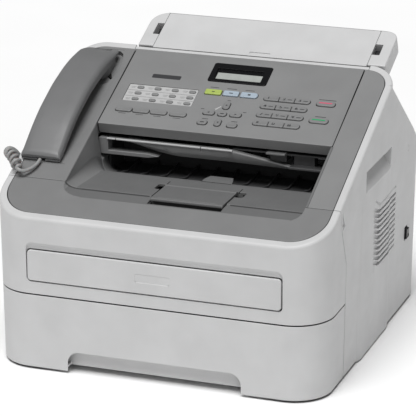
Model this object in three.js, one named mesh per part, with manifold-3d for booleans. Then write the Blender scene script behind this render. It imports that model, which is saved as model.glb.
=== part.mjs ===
// Compact laser fax machine with a corded handset.
// Millimetres, +Z up, +X to the machine's right, +Y to its back.
// The origin is under the middle of the machine, on the surface that it stands on.

import * as THREE from "three";
import { mergeVertices } from "three/addons/utils/BufferGeometryUtils.js";
import Module from "manifold-3d";

const wasm = await Module();
wasm.setup();

// ---- driving dimensions ----
const HALF_WIDTH = 184;
const FRONT = -180;
const BACK = 180;
const BOTTOM = 1.5; // lower edge of the casing, above the table
const WALL = 3; // casing thickness
const EDGE = 5; // rounding of the casing's upper edge
const GAP = 0.4; // clearance between neighbouring pieces
const FRONT_CORNER = 44; // plan radius of the front corners
const REAR_CORNER = 9;

const SLOPE = THREE.MathUtils.degToRad(24.1); // the sloping top
const SLOPE_START = 169; // its height at the front face
const RIDGE_Y = 62.5; // where the sides turn down towards the back
const REAR_TOP = [[RIDGE_Y, 277.5], [158, 205], [170, 194], [177, 183], [BACK, 173]];
const BLOCK_BACK = 92; // back of the raised block that carries the document tray
const BLOCK_CORNER = 33;

const RIM = 7.8; // width of the light rim round the grey top
const RIM_FRONT_CORNER = 36;
const RIM_REAR_CORNER = 25;
const RIM_BACK = 83.6;

const SIDE_SEAM = -97.8; // front cover and tray against the side covers
const TOP_SEAM = -123.5; // the same seam on the sloping top
const SEAM_HALF = 0.4;
const TRAY_TOP = 84.2;
const COVER_BOTTOM = 85.1;

const BAY_LEFT = -108;
const BAY_RIGHT = 146;
const BAY_FLOOR = 188;
const BAY_FRONT = -138;

const PANEL = { left: -117, right: 147, front: 158.9, back: 288.7, thick: 12, skin: 3 };
const TOP_THICK = 10; // the grey plates beside the panel
const FAR = 400; // further than any part of the machine

const CORD = { wire: 3.9, coil: 13.2 };

// ---- finishes ----
const finish = (color, roughness, metalness = 0) =>
  new THREE.MeshStandardMaterial({ color, roughness, metalness });
const light = finish(0xcfcfcf, 0.5);
const grey = finish(0x868686, 0.5);
const dark = finish(0x2b2b2b, 0.4);
const keyGrey = finish(0x8e8e8e, 0.5);
const rubber = finish(0x1c1c1c, 0.85);
const steel = finish(0x9a9a9a, 0.35, 0.9);
const green = finish(0xb6cf49, 0.4);
const blue = finish(0xb9cdda, 0.4);
const glass = finish(0x151718, 0.15);
const cordGrey = finish(0xb4b4b4, 0.6);

// ---- solids ----
function toSolid(geometry) {
  geometry.deleteAttribute("normal");
  geometry.deleteAttribute("uv");
  const merged = mergeVertices(geometry, 1e-4);
  return new wasm.Manifold(new wasm.Mesh({
    numProp: 3,
    vertProperties: merged.attributes.position.array,
    triVerts: new Uint32Array(merged.index.array),
  }));
}

function toGeometry(solid) {
  const mesh = solid.getMesh();
  const geometry = new THREE.BufferGeometry();
  geometry.setAttribute("position", new THREE.BufferAttribute(mesh.vertProperties, 3));
  geometry.setIndex(new THREE.BufferAttribute(mesh.triVerts, 1));
  geometry.computeVertexNormals();
  return geometry;
}

const join = (...solids) => solids.reduce((all, next) => all.add(next));
const cut = (solid, ...tools) => tools.reduce((rest, tool) => rest.subtract(tool), solid);

function block(x, y, z) {
  const box = new THREE.BoxGeometry(x[1] - x[0], y[1] - y[0], z[1] - z[0]);
  return toSolid(box.translate((x[0] + x[1]) / 2, (y[0] + y[1]) / 2, (z[0] + z[1]) / 2));
}

const polygon = (points) => new THREE.Shape(points.map(([a, b]) => new THREE.Vector2(a, b)));

// A rectangle with round corners: radii run lower right, upper right, upper left, lower left.
function rounded(x, y, radii) {
  const [lr, ur, ul, ll] = Array.isArray(radii) ? radii : [radii, radii, radii, radii];
  const quarter = Math.PI / 2;
  const shape = new THREE.Shape();
  shape.moveTo(x[0] + ll, y[0]);
  const corners = [
    [x[1] - lr, y[0] + lr, lr, -quarter],
    [x[1] - ur, y[1] - ur, ur, 0],
    [x[0] + ul, y[1] - ul, ul, quarter],
    [x[0] + ll, y[0] + ll, ll, 2 * quarter],
  ];
  for (const [cx, cy, r, start] of corners) {
    if (r > 0) shape.absarc(cx, cy, r, start, start + quarter, false);
    else shape.lineTo(cx, cy);
  }
  return shape;
}

function extrude(shape, from, to, curveSegments = 4) {
  const geometry = new THREE.ExtrudeGeometry(shape, {
    depth: to - from, bevelEnabled: false, curveSegments,
  });
  return geometry.translate(0, 0, from);
}

// Turns a geometry drawn in (y, z) and extruded along its third axis so that it runs along X.
const ALONG_X = new THREE.Matrix4().makeBasis(
  new THREE.Vector3(0, 1, 0), new THREE.Vector3(0, 0, 1), new THREE.Vector3(1, 0, 0));
// Places a geometry drawn in (x, distance up the slope, height over it) on the sloping top.
const ON_SLOPE = new THREE.Matrix4().makeTranslation(0, FRONT, SLOPE_START)
  .multiply(new THREE.Matrix4().makeRotationX(SLOPE));

const upright = (shape, z, steps) => toSolid(extrude(shape, z[0], z[1], steps));
const across = (points, x) => toSolid(extrude(polygon(points), x[0], x[1]).applyMatrix4(ALONG_X));
const onSlope = (shape, h, steps) =>
  toSolid(extrude(shape, h[0], h[1], steps).applyMatrix4(ON_SLOPE));

function rod(x, y, z, radius, sides = 16) {
  const length = x[1] - x[0];
  const cylinder = new THREE.CylinderGeometry(radius, radius, length, sides);
  return toSolid(cylinder.rotateZ(Math.PI / 2).translate(x[0] + length / 2, y, z));
}

const slopeHeight = (y) => SLOPE_START + Math.tan(SLOPE) * (y - FRONT);

function rearHeight(y) {
  if (y <= RIDGE_Y) return Infinity;
  const next = REAR_TOP.findIndex(([at]) => at >= y);
  const [y0, z0] = REAR_TOP[next - 1];
  const [y1, z1] = REAR_TOP[next];
  return z0 + ((z1 - z0) * (y - y0)) / (y1 - y0);
}

// ---- the casing's outer form ----
// Right half of a plan outline, from the front corner to the rear corner.
function halfOutline(form, inset) {
  const points = [];
  const corner = (cx, cy, radius, start, steps) => {
    for (let i = 0; i <= steps; i += 1) {
      const angle = THREE.MathUtils.degToRad(start + (90 * i) / steps);
      points.push([cx + radius * Math.cos(angle), cy + radius * Math.sin(angle)]);
    }
  };
  const { front, back, frontCorner, rearCorner, stations } = form;
  corner(HALF_WIDTH - frontCorner, front + frontCorner, frontCorner - inset, -90, 9);
  for (const y of stations) points.push([HALF_WIDTH - inset, y]);
  corner(HALF_WIDTH - rearCorner, back - rearCorner, rearCorner - inset, 0, form.rearSteps);
  return points;
}

// A closed form through rings of the outline, each with its own inset and height.
function loft(form, levels) {
  const rings = levels.map(({ inset, height }) => {
    const right = halfOutline(form, inset).map(([x, y]) => [x, y, height(y)]);
    const left = right.map(([x, y, z]) => [-x, y, z]);
    return { right, left, loop: [...right, ...left.toReversed()] };
  });
  const corners = [];
  const face = (a, b, c, d) => corners.push(...a, ...b, ...c, ...a, ...c, ...d);
  for (let k = 1; k < rings.length; k += 1) {
    const [low, high] = [rings[k - 1].loop, rings[k].loop];
    low.forEach((point, i) => {
      const next = (i + 1) % low.length;
      face(point, low[next], high[next], high[i]);
    });
  }
  const [base, top] = [rings[0], rings.at(-1)];
  for (let i = 1; i < base.right.length; i += 1) {
    face(base.left[i - 1], base.left[i], base.right[i], base.right[i - 1]);
    face(top.right[i - 1], top.right[i], top.left[i], top.left[i - 1]);
  }
  const geometry = new THREE.BufferGeometry();
  geometry.setAttribute("position", new THREE.Float32BufferAttribute(corners, 3));
  return toSolid(geometry);
}

function outerLevels(height) {
  const levels = [
    { inset: 1.5, height: () => BOTTOM },
    { inset: 0, height: () => BOTTOM + 1.5 },
  ];
  for (const degrees of [0, 30, 60, 90]) {
    const angle = THREE.MathUtils.degToRad(degrees);
    const drop = EDGE * (1 - Math.sin(angle));
    levels.push({ inset: EDGE * (1 - Math.cos(angle)), height: (y) => height(y) - drop });
  }
  return levels;
}

const innerLevels = (height, inset) => [
  { inset, height: () => -20 },
  { inset, height: (y) => height(y) - WALL - 2 },
  { inset: inset + 2, height: (y) => height(y) - WALL },
];

const bodyForm = {
  front: FRONT, back: BACK, frontCorner: FRONT_CORNER, rearCorner: REAR_CORNER, rearSteps: 4,
  stations: [RIDGE_Y, 158, 170],
};
const blockForm = {
  front: -60, back: BLOCK_BACK, frontCorner: 20, rearCorner: BLOCK_CORNER, rearSteps: 6,
  stations: [],
};
const bodyHeight = (y) => Math.min(slopeHeight(y), rearHeight(y));
const outer = join(
  loft(bodyForm, outerLevels(bodyHeight)), loft(blockForm, outerLevels(slopeHeight)));
const inner = join(
  loft(bodyForm, innerLevels(bodyHeight, WALL)), loft(blockForm, innerLevels(slopeHeight, WALL)));
const casing = cut(outer, inner);

// The opening inside the light rim, in plan.
const rimOpening = (gap) => upright(rounded(
  [-HALF_WIDTH + RIM + gap, HALF_WIDTH - RIM - gap], [FRONT + RIM + gap, RIM_BACK - gap],
  [RIM_FRONT_CORNER, RIM_REAR_CORNER, RIM_REAR_CORNER, RIM_FRONT_CORNER]), [100, 400], 8);

// Everything in front of the seam, or behind it.
const seamLine = (offset) => [
  [SIDE_SEAM + offset, 129], [SIDE_SEAM - 19.6 + offset, 170],
  [TOP_SEAM + offset, 194.5], [TOP_SEAM + offset, 400],
];
const beforeSeam = across(
  [[-300, -10], [SIDE_SEAM - SEAM_HALF, -10], ...seamLine(-SEAM_HALF), [-300, 400]], [-250, 250]);
const behindSeam = across(
  [[SIDE_SEAM + SEAM_HALF, -10], [300, -10], [300, 400], ...seamLine(SEAM_HALF).toReversed()],
  [-250, 250]);

// A plate that follows the sloping top inside the rim.
const topPlate = (thick) =>
  rimOpening(GAP).intersect(onSlope(rounded([-200, 200], [-20, 400], 0), [-thick, 0]));

const model = new THREE.Group();

function add(name, solid, material) {
  const mesh = new THREE.Mesh(solid.isBufferGeometry ? solid : toGeometry(solid), material);
  mesh.name = name;
  model.add(mesh);
}

// ---- casing ----
const GRIP = { y: [-31, 68], z: [189, 208], depth: 14 };
const LOUVRES = { count: 11, y: [3, 91], lowest: 88, pitch: 5.95, height: 2.8 };
const SWITCH = { y: [133, 144], z: [81, 93] };
const JACK = { y: -44, z: 94 };
const REAR_SEAMS = [-118.9, 151.3]; // the rear housing between the side covers
const REAR_SEAM_Y = 104.4; // the rear housing behind the document chute

function sideCover(side) {
  const at = (a, b) => [Math.min(side * a, side * b), Math.max(side * a, side * b)];
  const inboard = side > 0 ? REAR_SEAMS[1] + GAP : -REAR_SEAMS[0] + GAP;
  const pocket = block(at(HALF_WIDTH - GRIP.depth - 2, HALF_WIDTH - 1),
    [GRIP.y[0] - 2, GRIP.y[1] + 2], [GRIP.z[0] - 2, GRIP.z[1] + 2]);
  const shell = cut(
    casing.intersect(behindSeam).intersect(block(at(inboard, 250), [-250, 250], [-10, FAR])),
    rimOpening(0));
  const fingerNotch = across([[-114, 189], [-107.5, 174], [-115, 172]],
    at(HALF_WIDTH - 2, HALF_WIDTH + 5));
  return cut(join(shell, pocket),
    block(at(HALF_WIDTH - GRIP.depth, HALF_WIDTH + 5), GRIP.y, GRIP.z),
    fingerNotch);
}

const louvres = Array.from({ length: LOUVRES.count }, (_, i) => {
  const z = LOUVRES.lowest + i * LOUVRES.pitch;
  return block([HALF_WIDTH - 10, HALF_WIDTH + 5], LOUVRES.y, [z, z + LOUVRES.height]);
});
const grow = ([low, high], by) => [low - by, high + by];
const throughSide = (side, y, z) =>
  block(side > 0 ? [170, 190] : [-190, -170], y, z);
add("right_cover", cut(sideCover(1), ...louvres,
  throughSide(1, grow(SWITCH.y, 0.6), grow(SWITCH.z, 2))), light);
add("left_cover", cut(sideCover(-1),
  throughSide(-1, grow([JACK.y, JACK.y], 7.4), grow([JACK.z, JACK.z], 6.9))), light);

const REAR_DOOR = { x: [-105, 135], z: [60, 165] };
const INLET = { x: [96, 124], z: [24, 44] };
const throughBack = (x, z) => block(x, [170, 190], z);
add("rear_housing", cut(
  casing.intersect(block(REAR_SEAMS, [REAR_SEAM_Y, 250], [-10, FAR])),
  throughBack(grow(REAR_DOOR.x, 0.6), [REAR_DOOR.z[0] - 1, REAR_DOOR.z[1] + 0.6]),
  throughBack(grow(INLET.x, GAP), grow(INLET.z, GAP))), light);
add("back_cover", block(REAR_DOOR.x, [BACK - WALL, BACK], REAR_DOOR.z), light);
const inletWall = 2.5;
const inletPins = [105, 115].map((x) => block([x - 1, x + 1], [164, 177], [32, 36]));
add("power_inlet", join(
  cut(block(INLET.x, [162, BACK + 0.8], INLET.z),
    block(grow(INLET.x, -inletWall), [166, 185], grow(INLET.z, -inletWall))),
  ...inletPins), dark);

const FRAME = {
  y: [-95, 174], floor: [3, 6], deck: [86, 89], top: 168,
  lowerWall: 125.5, upperWall: 141.5, wallHalf: 1.5,
};
const FOOT = { x: 160, y: [-80, 158], height: 4, top: 10, bottom: 9 };
const feet = FOOT.y.flatMap((y) => [-FOOT.x, FOOT.x].map((x) => {
  const cylinder = new THREE.CylinderGeometry(FOOT.top, FOOT.bottom, FOOT.height, 20);
  return toSolid(cylinder.rotateX(Math.PI / 2).translate(x, y, FOOT.height / 2));
}));
add("base_frame", join(block([-178, 178], FRAME.y, FRAME.floor), ...feet), dark);
const frameWalls = [-1, 1].flatMap((side) => [
  block(grow([side * FRAME.lowerWall, side * FRAME.lowerWall], FRAME.wallHalf), FRAME.y,
    [FRAME.floor[1] + GAP, FRAME.deck[0] + 1]),
  block(grow([side * FRAME.upperWall, side * FRAME.upperWall], FRAME.wallHalf), [-90, 165],
    [FRAME.deck[1] - 1, FRAME.top]),
]);
const pickupWindow = block([-34, 34], [-84, -56], [80, 95]);
add("engine_frame", join(
  cut(block([-170, 170], FRAME.y, FRAME.deck), pickupWindow), ...frameWalls), dark);

// ---- engine ----
add("laser_unit", join(
  block([-112, 112], [-18, 72], [128, 160]), block([-60, 60], [-10, 64], [159, 166])), dark);
add("toner_cartridge", join(
  block([-118, 118], [-88, -30], [110, 150]), rod([-118, 118], -38, 108, 14, 20)), dark);
add("fuser_unit", join(
  block([-125, 125], [98, 150], [104, 158]), rod([-128, 128], 124, 100, 10, 16)), dark);
const roller = (x, y, z, radius, shaft, shaftX) =>
  join(rod(x, y, z, radius), rod(shaftX, y, z, shaft, 12));
add("pickup_roller", roller([-25, 25], -70, 97, 9, 3, [-60, 60]), rubber);

// ---- front cover, with the manual feed slot ----
const SLOT = { x: 139.5, z: [100, 134] };
const throat = join(
  block([-143, 143], [FRONT + 2.5, -171], [96, 143.5]),
  block([-122, 122], [-172, -140], [100.5, 103.5]),
  block([-122, 122], [-172, -140], [130.5, 133.5]),
);
const slotPocket = upright(rounded([-140.1, 140.1], [98.8, 134.6], 4), [0, 10], 3)
  .rotate([90, 0, 0]).translate([0, -176.5, 0]);
const slotFinger = upright(rounded([-140.1, 140.1], [128, 140.2], 5), [0, 10], 3)
  .rotate([90, 0, 0]).translate([0, -177.4, 0]);
add("front_cover", cut(
  join(casing.intersect(beforeSeam).intersect(block([-250, 250], [-250, 0], [COVER_BOTTOM, FAR])),
    throat),
  rimOpening(0), slotPocket, slotFinger,
  block([-118, 118], [-185, -165], [103.5, 130.5])), light);
add("manual_slot_cover", upright(rounded([-SLOT.x, SLOT.x], SLOT.z, 4), [0, 2.6], 3)
  .rotate([90, 0, 0]).translate([0, FRONT + 2.6, 0]), light);

const FLAP = { x: [-19, 60], front: -133, pivot: -87 };
const bay = block([BAY_LEFT, BAY_RIGHT], [BAY_FRONT - 20, -30], [BAY_FLOOR, 300]);
add("front_top_panel", cut(
  topPlate(TOP_THICK).intersect(block([-250, 250], [-250, TOP_SEAM - SEAM_HALF], [0, FAR])),
  bay,
  block([FLAP.x[0] - 5.4, FLAP.x[1] + 5.4], [-138, -100], [150, 300]),
  block([FLAP.x[0] + 8, FLAP.x[1] - 8], [-142, -100], [183, 300])), grey);

// ---- output bay ----
const bayShell = join(
  block([BAY_LEFT - 2.5, BAY_RIGHT + 2.5], [TOP_SEAM + SEAM_HALF, -50], [BAY_FLOOR - 3, BAY_FLOOR]),
  across([[-53, BAY_FLOOR], [-30, 176], [23, 176], [23, 173], [-31, 173], [-53, BAY_FLOOR - 3]],
    [BAY_LEFT - 2.5, BAY_RIGHT + 2.5]),
  block([BAY_LEFT - 2.5, BAY_RIGHT + 2.5], [20, 23], [173, 238]),
);
const wallProfile = [
  [TOP_SEAM + SEAM_HALF, BAY_FLOOR - 3], [-53, BAY_FLOOR - 3], [-31, 173], [23, 173],
  [23, slopeHeight(23) - 16], [-36, slopeHeight(-36) - 16], [-36, slopeHeight(-36)],
  [TOP_SEAM + SEAM_HALF, slopeHeight(TOP_SEAM + SEAM_HALF)],
];
const bayWalls = join(
  across(wallProfile, [BAY_LEFT - 2.5, BAY_LEFT]),
  across(wallProfile, [BAY_RIGHT, BAY_RIGHT + 2.5]));
const rightStrip = cut(
  topPlate(TOP_THICK).intersect(block([BAY_RIGHT, 250], [TOP_SEAM + SEAM_HALF, 250], [0, FAR])),
  block([0, PANEL.right + 0.8], [-36, 100], [150, FAR]));
// The floor of the document exit, under the front edge of the control panel.
const exitFront = (points, y) => toSolid(
  extrude(polygon(points), 0, y[1] - y[0]).rotateX(Math.PI / 2).translate(0, y[1], 0));
const documentExit = cut(
  exitFront([[-110, 201], [-60, 201], [BAY_RIGHT + 1, 201], [BAY_RIGHT + 1, 216.5], [97, 216.5],
    [96, 219.5], [75, 219.5], [74, 216.5], [-110, 216.5]], [-31, -4]),
  exitFront([[-101, 213.6], [-58, 203.4], [98, 203.4], [36, 213.6]], [-40, -8]));
const flapPocket = block([FLAP.x[0] - 0.8, FLAP.x[1] + 0.8], [-134.5, -66], [177, 300]);
const tongue = join(
  block([FLAP.x[0] - 4.8, FLAP.x[1] + 4.8], [-137, TOP_SEAM + 1], [174, BAY_FLOOR - 0.5]),
  block([FLAP.x[0] - 4.8, FLAP.x[1] + 4.8], [TOP_SEAM, -62], [174, BAY_FLOOR - 1]));
const EXIT_ROLLER = { y: 11, z: 205 };
add("output_chute", cut(
  join(bayShell, bayWalls, rightStrip, documentExit, tongue),
  flapPocket,
  rod([BAY_LEFT - 2, BAY_RIGHT + 2], EXIT_ROLLER.y, EXIT_ROLLER.z, 2.9, 12)), grey);
add("support_flap", join(
  block(FLAP.x, [FLAP.front, FLAP.pivot + 4], [BAY_FLOOR - 1.4, BAY_FLOOR + 1.4]),
  rod([FLAP.x[0], FLAP.x[1]], FLAP.pivot, BAY_FLOOR, 2.2, 12)), grey);
add("exit_roller", roller([-60, 60], EXIT_ROLLER.y, EXIT_ROLLER.z, 6, 2.5,
  [BAY_LEFT - 1.5, BAY_RIGHT + 1.5]), rubber);

// ---- handset and its cradle ----
const CRADLE = { x: [-174.5, -128], s: [90, 285], floor: -8.6 };
const HOOK = { x: [-158, -150], s: [252, 262] };
add("handset_cradle", cut(
  topPlate(16).intersect(block([-250, BAY_LEFT - 2.9], [TOP_SEAM + SEAM_HALF, 250], [0, FAR])),
  block([PANEL.left - 0.8, 0], [-36, 100], [150, FAR]),
  onSlope(rounded(CRADLE.x, CRADLE.s, 14), [CRADLE.floor, 20], 4),
  onSlope(rounded([HOOK.x[0] - GAP, HOOK.x[1] + GAP], [HOOK.s[0] - GAP, HOOK.s[1] + GAP], 0),
    [-30, 0])), grey);
add("hook_switch", onSlope(rounded(HOOK.x, HOOK.s, 1.5), [-14, -6.5], 2), dark);

// Distance up the slope, underside and top of the handset, from its lower end to its upper end.
const HANDSET_X = [-178, -133];
const HANDSET_STATIONS = [
  [88, 1.4, 8.5], [91, 1.4, 11], [99, 2, 13.4], [113, 5.5, 17], [131, 9, 21.2], [150, 11.8, 24],
  [170, 13.4, 25.4], [189, 14, 26], [205, 12, 25.4], [222, 9, 23.4], [238, 5.5, 20.4],
  [252, 3, 15.6], [265, 1.5, 10.8], [277, 1.4, 6], [284.5, 1.4, 2.9],
];
const handsetRings = HANDSET_STATIONS.map(([s, low, high]) => {
  const top = Math.min(7, 0.45 * (high - low));
  const under = Math.min(2, 0.3 * (high - low));
  const outline = rounded(HANDSET_X, [low, high], [under, top, top, under]);
  return outline.getPoints(2).slice(0, -1).map(({ x, y }) => [x, s, y]);
});

// A closed form through convex rings that have the same number of points.
function skin(rings) {
  const corners = [];
  const face = (...points) => corners.push(...points.flat());
  for (let k = 1; k < rings.length; k += 1) {
    rings[k].forEach((point, i) => {
      const next = (i + 1) % rings[k].length;
      face(rings[k - 1][i], rings[k][next], rings[k - 1][next]);
      face(rings[k - 1][i], point, rings[k][next]);
    });
  }
  const [start, end] = [rings[0], rings.at(-1)];
  for (let i = 2; i < start.length; i += 1) {
    face(start[0], start[i - 1], start[i]);
    face(end[0], end[i], end[i - 1]);
  }
  const geometry = new THREE.BufferGeometry();
  return geometry.setAttribute("position", new THREE.Float32BufferAttribute(corners, 3));
}
add("handset_shell", join(
  toSolid(skin(handsetRings).applyMatrix4(ON_SLOPE)),
  onSlope(rounded([-171, -140], [98, 132], 12), [-8, 9.8], 4),
  onSlope(rounded([-171, -140], [240, 276], 12), [-6, 5.7], 4)), grey);

// ---- document tray ----
const SLAB = { x: [-118.5, 167.5], s: [297, 358.5], thick: 21.5 };
const SUPPORT = { x: [-100, 147], s: [298.5, 357], thick: 4.2 };
const slab = onSlope(rounded(SLAB.x, SLAB.s, [2, 13, 20, 2]), [-SLAB.thick, 0], 5);
add("document_tray", cut(slab,
  onSlope(rounded([SUPPORT.x[0] - GAP, SUPPORT.x[1] + GAP], [280, SUPPORT.s[1] + GAP], 0),
    [-SUPPORT.thick - 0.8, 5]),
  onSlope(rounded([SUPPORT.x[0] + 3, SUPPORT.x[1] - 3], [280, SUPPORT.s[1] - 6], 0), [-12.4, 5]),
  onSlope(rounded([-108, -98], [318, 338], 1), [-10, 5], 1),
  onSlope(rounded([145, 156], [315, 333.5], 1), [-10, 5], 1)), light);
add("document_support", onSlope(rounded(SUPPORT.x, SUPPORT.s, 1), [-SUPPORT.thick, 0], 2), light);
const GUIDE = { s: [300, 334], h: [-12, -5.6], width: 9 };
for (const [name, x] of [["document_guide_left", -94], ["document_guide_right", 132]]) {
  add(name, onSlope(rounded([x, x + GUIDE.width], GUIDE.s, 2), GUIDE.h, 2), grey);
}
const CHUTE = { x: [-118.8, 151.2], front: 84, back: 103.6, floor: 250 };
const chuteBand = across([
  [CHUTE.front, CHUTE.floor], [CHUTE.front, slopeHeight(CHUTE.front)],
  [87.6, slopeHeight(87.6)], [87.6, CHUTE.floor]], CHUTE.x);
const chuteEnds = [[CHUTE.x[0], -114], [148, CHUTE.x[1]]].map((x) =>
  across([[CHUTE.front, CHUTE.floor], [CHUTE.back, CHUTE.floor], [CHUTE.back, 270.2],
    [96, 270.2], [90, slopeHeight(90) - 3], [CHUTE.front, slopeHeight(CHUTE.front)]], x));
const DOC_ROLLER = { y: 94.2, z: 261 };
add("document_chute", cut(join(
  chuteBand, ...chuteEnds,
  block(CHUTE.x, [CHUTE.front, CHUTE.back], [CHUTE.floor, CHUTE.floor + 2.5]),
  block(CHUTE.x, [CHUTE.back - 2.5, CHUTE.back], [CHUTE.floor, 270.2])),
rod([-116, 149.5], DOC_ROLLER.y, DOC_ROLLER.z, 2.9, 12)), light);
add("document_roller",
  roller([-80, 125], DOC_ROLLER.y, DOC_ROLLER.z, 5.4, 2.5, [-115.5, 149]), rubber);

// ---- control panel ----
const panelBlock = onSlope(
  rounded([PANEL.left, PANEL.right], [PANEL.front, PANEL.back + 10], 1.5), [-PANEL.thick, 0], 2)
  .intersect(block([-250, 250], [-250, RIM_BACK - GAP], [0, FAR]));
const panelHollow = onSlope(rounded([PANEL.left + 2.5, PANEL.right - 2.5],
  [PANEL.front + 2.5, PANEL.back + 10], 0), [-PANEL.thick - 5, -PANEL.skin])
  .intersect(block([-250, 250], [-250, RIM_BACK - GAP - 2.5], [0, FAR]));

// A round-ended key outline about a centre.
const pill = (x, s, width, length, radius, grow = 0) => rounded(
  [x - width / 2 - grow, x + width / 2 + grow], [s - length / 2 - grow, s + length / 2 + grow],
  radius);
const KEY = [-3.4, 1.4]; // underside and top of a key, over the panel's face
const DIAL = {
  columns: [60.2, 77.8, 95.4], rows: [225.3, 211.7, 197.7, 183.7], width: 17, length: 7.6,
};
const dialNames = ["1", "2", "3", "4", "5", "6", "7", "8", "9", "star", "0", "hash"];
// Name, centre, width, length, corner radius and finish of each single key.
const singleKeys = [
  ["stop_key", 121.4, 224.6, 20.8, 7.8, 3.8, keyGrey],
  ["start_key", 121.4, 196.4, 20.8, 8, 3.9, keyGrey],
  ["fax_key", -6.4, 227, 18.6, 8.2, 1.5, green],
  ["scan_key", 13.9, 227, 17.6, 8.2, 1.5, blue],
  ["copy_key", 34.6, 227, 19.2, 8.2, [3.6, 3.6, 1, 1], blue],
  ["ok_key", 14.6, 192.4, 10, 7, 3.4, keyGrey],
  ["menu_key", -2.8, 176, 11, 7.4, 3.5, keyGrey],
  ["clear_key", 30.8, 175.6, 11.4, 7.4, 3.5, keyGrey],
].map(([name, x, s, width, length, radius, material]) => (
  { name, x, s, width, length, radius, material }));
const arrows = [
  { x: 15.4, s: 206.6, width: 7, length: 12 }, { x: 14.4, s: 177.6, width: 7, length: 11 },
  { x: -0.6, s: 192.6, width: 13, length: 7 }, { x: 29.6, s: 192.9, width: 13, length: 7 },
];
const functions = [-95.6, -75.7, -55.4, -33.2].map(
  (x) => ({ x, s: 184.9, width: 18.8, length: 7 }));
const oneTouch = [224, 214.1, 204.1].flatMap(
  (s) => [-89.3, -69.4, -49.5, -29.4].map((x) => ({ x, s })));
const LABEL = { x: [-103.6, -23.4], s: [200.4, 229] };

const holes = [
  ...DIAL.rows.map((s) => pill(DIAL.columns[1], s, 2 * 17.6 + DIAL.width, DIAL.length, 3.8, GAP)),
  ...singleKeys.map((k) => pill(k.x, k.s, k.width, k.length, k.radius, GAP)),
  ...arrows.map((k) => pill(k.x, k.s, k.width, k.length, 3.4, GAP)),
  ...functions.map((k) => pill(k.x, k.s, k.width, k.length, 3, GAP)),
  rounded(LABEL.x, LABEL.s, 1),
].map((shape) => onSlope(shape, [-20, 5], 2));
const DISPLAY = { x: [-19.7, 47.3], s: [245, 276.8] };
const displayRecess = onSlope(rounded([DISPLAY.x[0] - GAP, DISPLAY.x[1] + GAP],
  [DISPLAY.s[0] - GAP, DISPLAY.s[1] + GAP], 3), [-1.8, 5], 2);
add("panel_shell", cut(panelBlock, panelHollow, displayRecess, ...holes), grey);
add("display_window", onSlope(rounded(DISPLAY.x, DISPLAY.s, 3), [-1.4, 0.8], 3), glass);

DIAL.rows.forEach((s, row) => DIAL.columns.forEach((x, column) => {
  const ends = [[0, 0, 3.6, 3.6], 0, [3.6, 3.6, 0, 0]][column];
  add(`dial_key_${dialNames[3 * row + column]}`,
    onSlope(pill(x, s, DIAL.width, DIAL.length, ends), KEY, 2), keyGrey);
}));
for (const k of singleKeys) {
  add(k.name, onSlope(pill(k.x, k.s, k.width, k.length, k.radius), KEY, 2), k.material);
}
const MAT = [-5.2, -3.3]; // the membranes that carry grouped keys, under the panel's skin
add("arrow_keys", cut(join(
  ...arrows.map((k) => onSlope(pill(k.x, k.s, k.width, k.length, 3.3), [MAT[0], KEY[1]], 2)),
  onSlope(rounded([3.2, 25], [178, 206], 0), MAT)),
onSlope(rounded([8.6, 20.6], [187.8, 197], 0), [-9, 0])), keyGrey);
add("function_keys", join(
  ...functions.map((k) => onSlope(pill(k.x, k.s, k.width, k.length, 2.9), [MAT[0], KEY[1]], 2)),
  onSlope(rounded([-100, -30], [183, 187], 0), MAT)), keyGrey);
add("one_touch_keys", join(
  onSlope(rounded(grow(LABEL.x, -GAP), grow(LABEL.s, -GAP), 1), [-3, -0.6], 2),
  ...oneTouch.map((k) => onSlope(pill(k.x, k.s, 8, 4.2, 1.9), [-1.5, 0.9], 1))), keyGrey);

// ---- paper tray ----
const NOTCH = { x: 96, z: 25 };
const trayOutside = casing.intersect(beforeSeam)
  .intersect(block([-250, 250], [-250, 0], [-10, TRAY_TOP]));
const trayShelf = loft(bodyForm, innerLevels(bodyHeight, WALL - 0.3))
  .intersect(beforeSeam).intersect(block([-250, 250], [-250, 0], [38, 41]));
const trayBox = cut(
  block([-121, 121], [FRONT + 2.7, 125], [7, 79]),
  block([-118.5, 118.5], [-165.5, 122.5], [9.5, 100]),
  block([-118.5, 118.5], [-200, -168], [9.5, 100]));
const notch = upright(rounded([-NOTCH.x, NOTCH.x], [-30, NOTCH.z], [0, 14, 14, 0]), [0, 14], 5)
  .rotate([90, 0, 0]).translate([0, -168, 0]);
add("paper_tray", cut(
  join(trayOutside,
    cut(trayShelf, block([-120, 120], [-200, 0], [30, 50])), trayBox,
    block([-100, 100], [FRONT + 2.7, -167], [NOTCH.z, NOTCH.z + 2.5])),
  notch), light);
const trayGuide = (side) => join(
  block(grow([side * 106.2, side * 106.2], 1.2), [-60, 0], [10.2, 58]),
  block(grow([side * 101.5, side * 101.5], 5.5), [-45, -15], [10.2, 12.4]));
add("tray_guide_left", trayGuide(-1), grey);
add("tray_guide_right", trayGuide(1), grey);
add("lift_plate", block([-62, 62], [-160, -22], [11, 12.6]), steel);

// ---- switches, jack and cord ----
add("power_switch", block([176, 185.4], SWITCH.y, SWITCH.z), dark);
add("handset_jack", join(
  block([-184.4, -172], [JACK.y - 7, JACK.y + 7], [JACK.z - 6.5, JACK.z + 6.5]),
  block([-188.6, -184], [JACK.y - 3.8, JACK.y + 3.8], [JACK.z - 3, JACK.z + 3])), dark);

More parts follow.
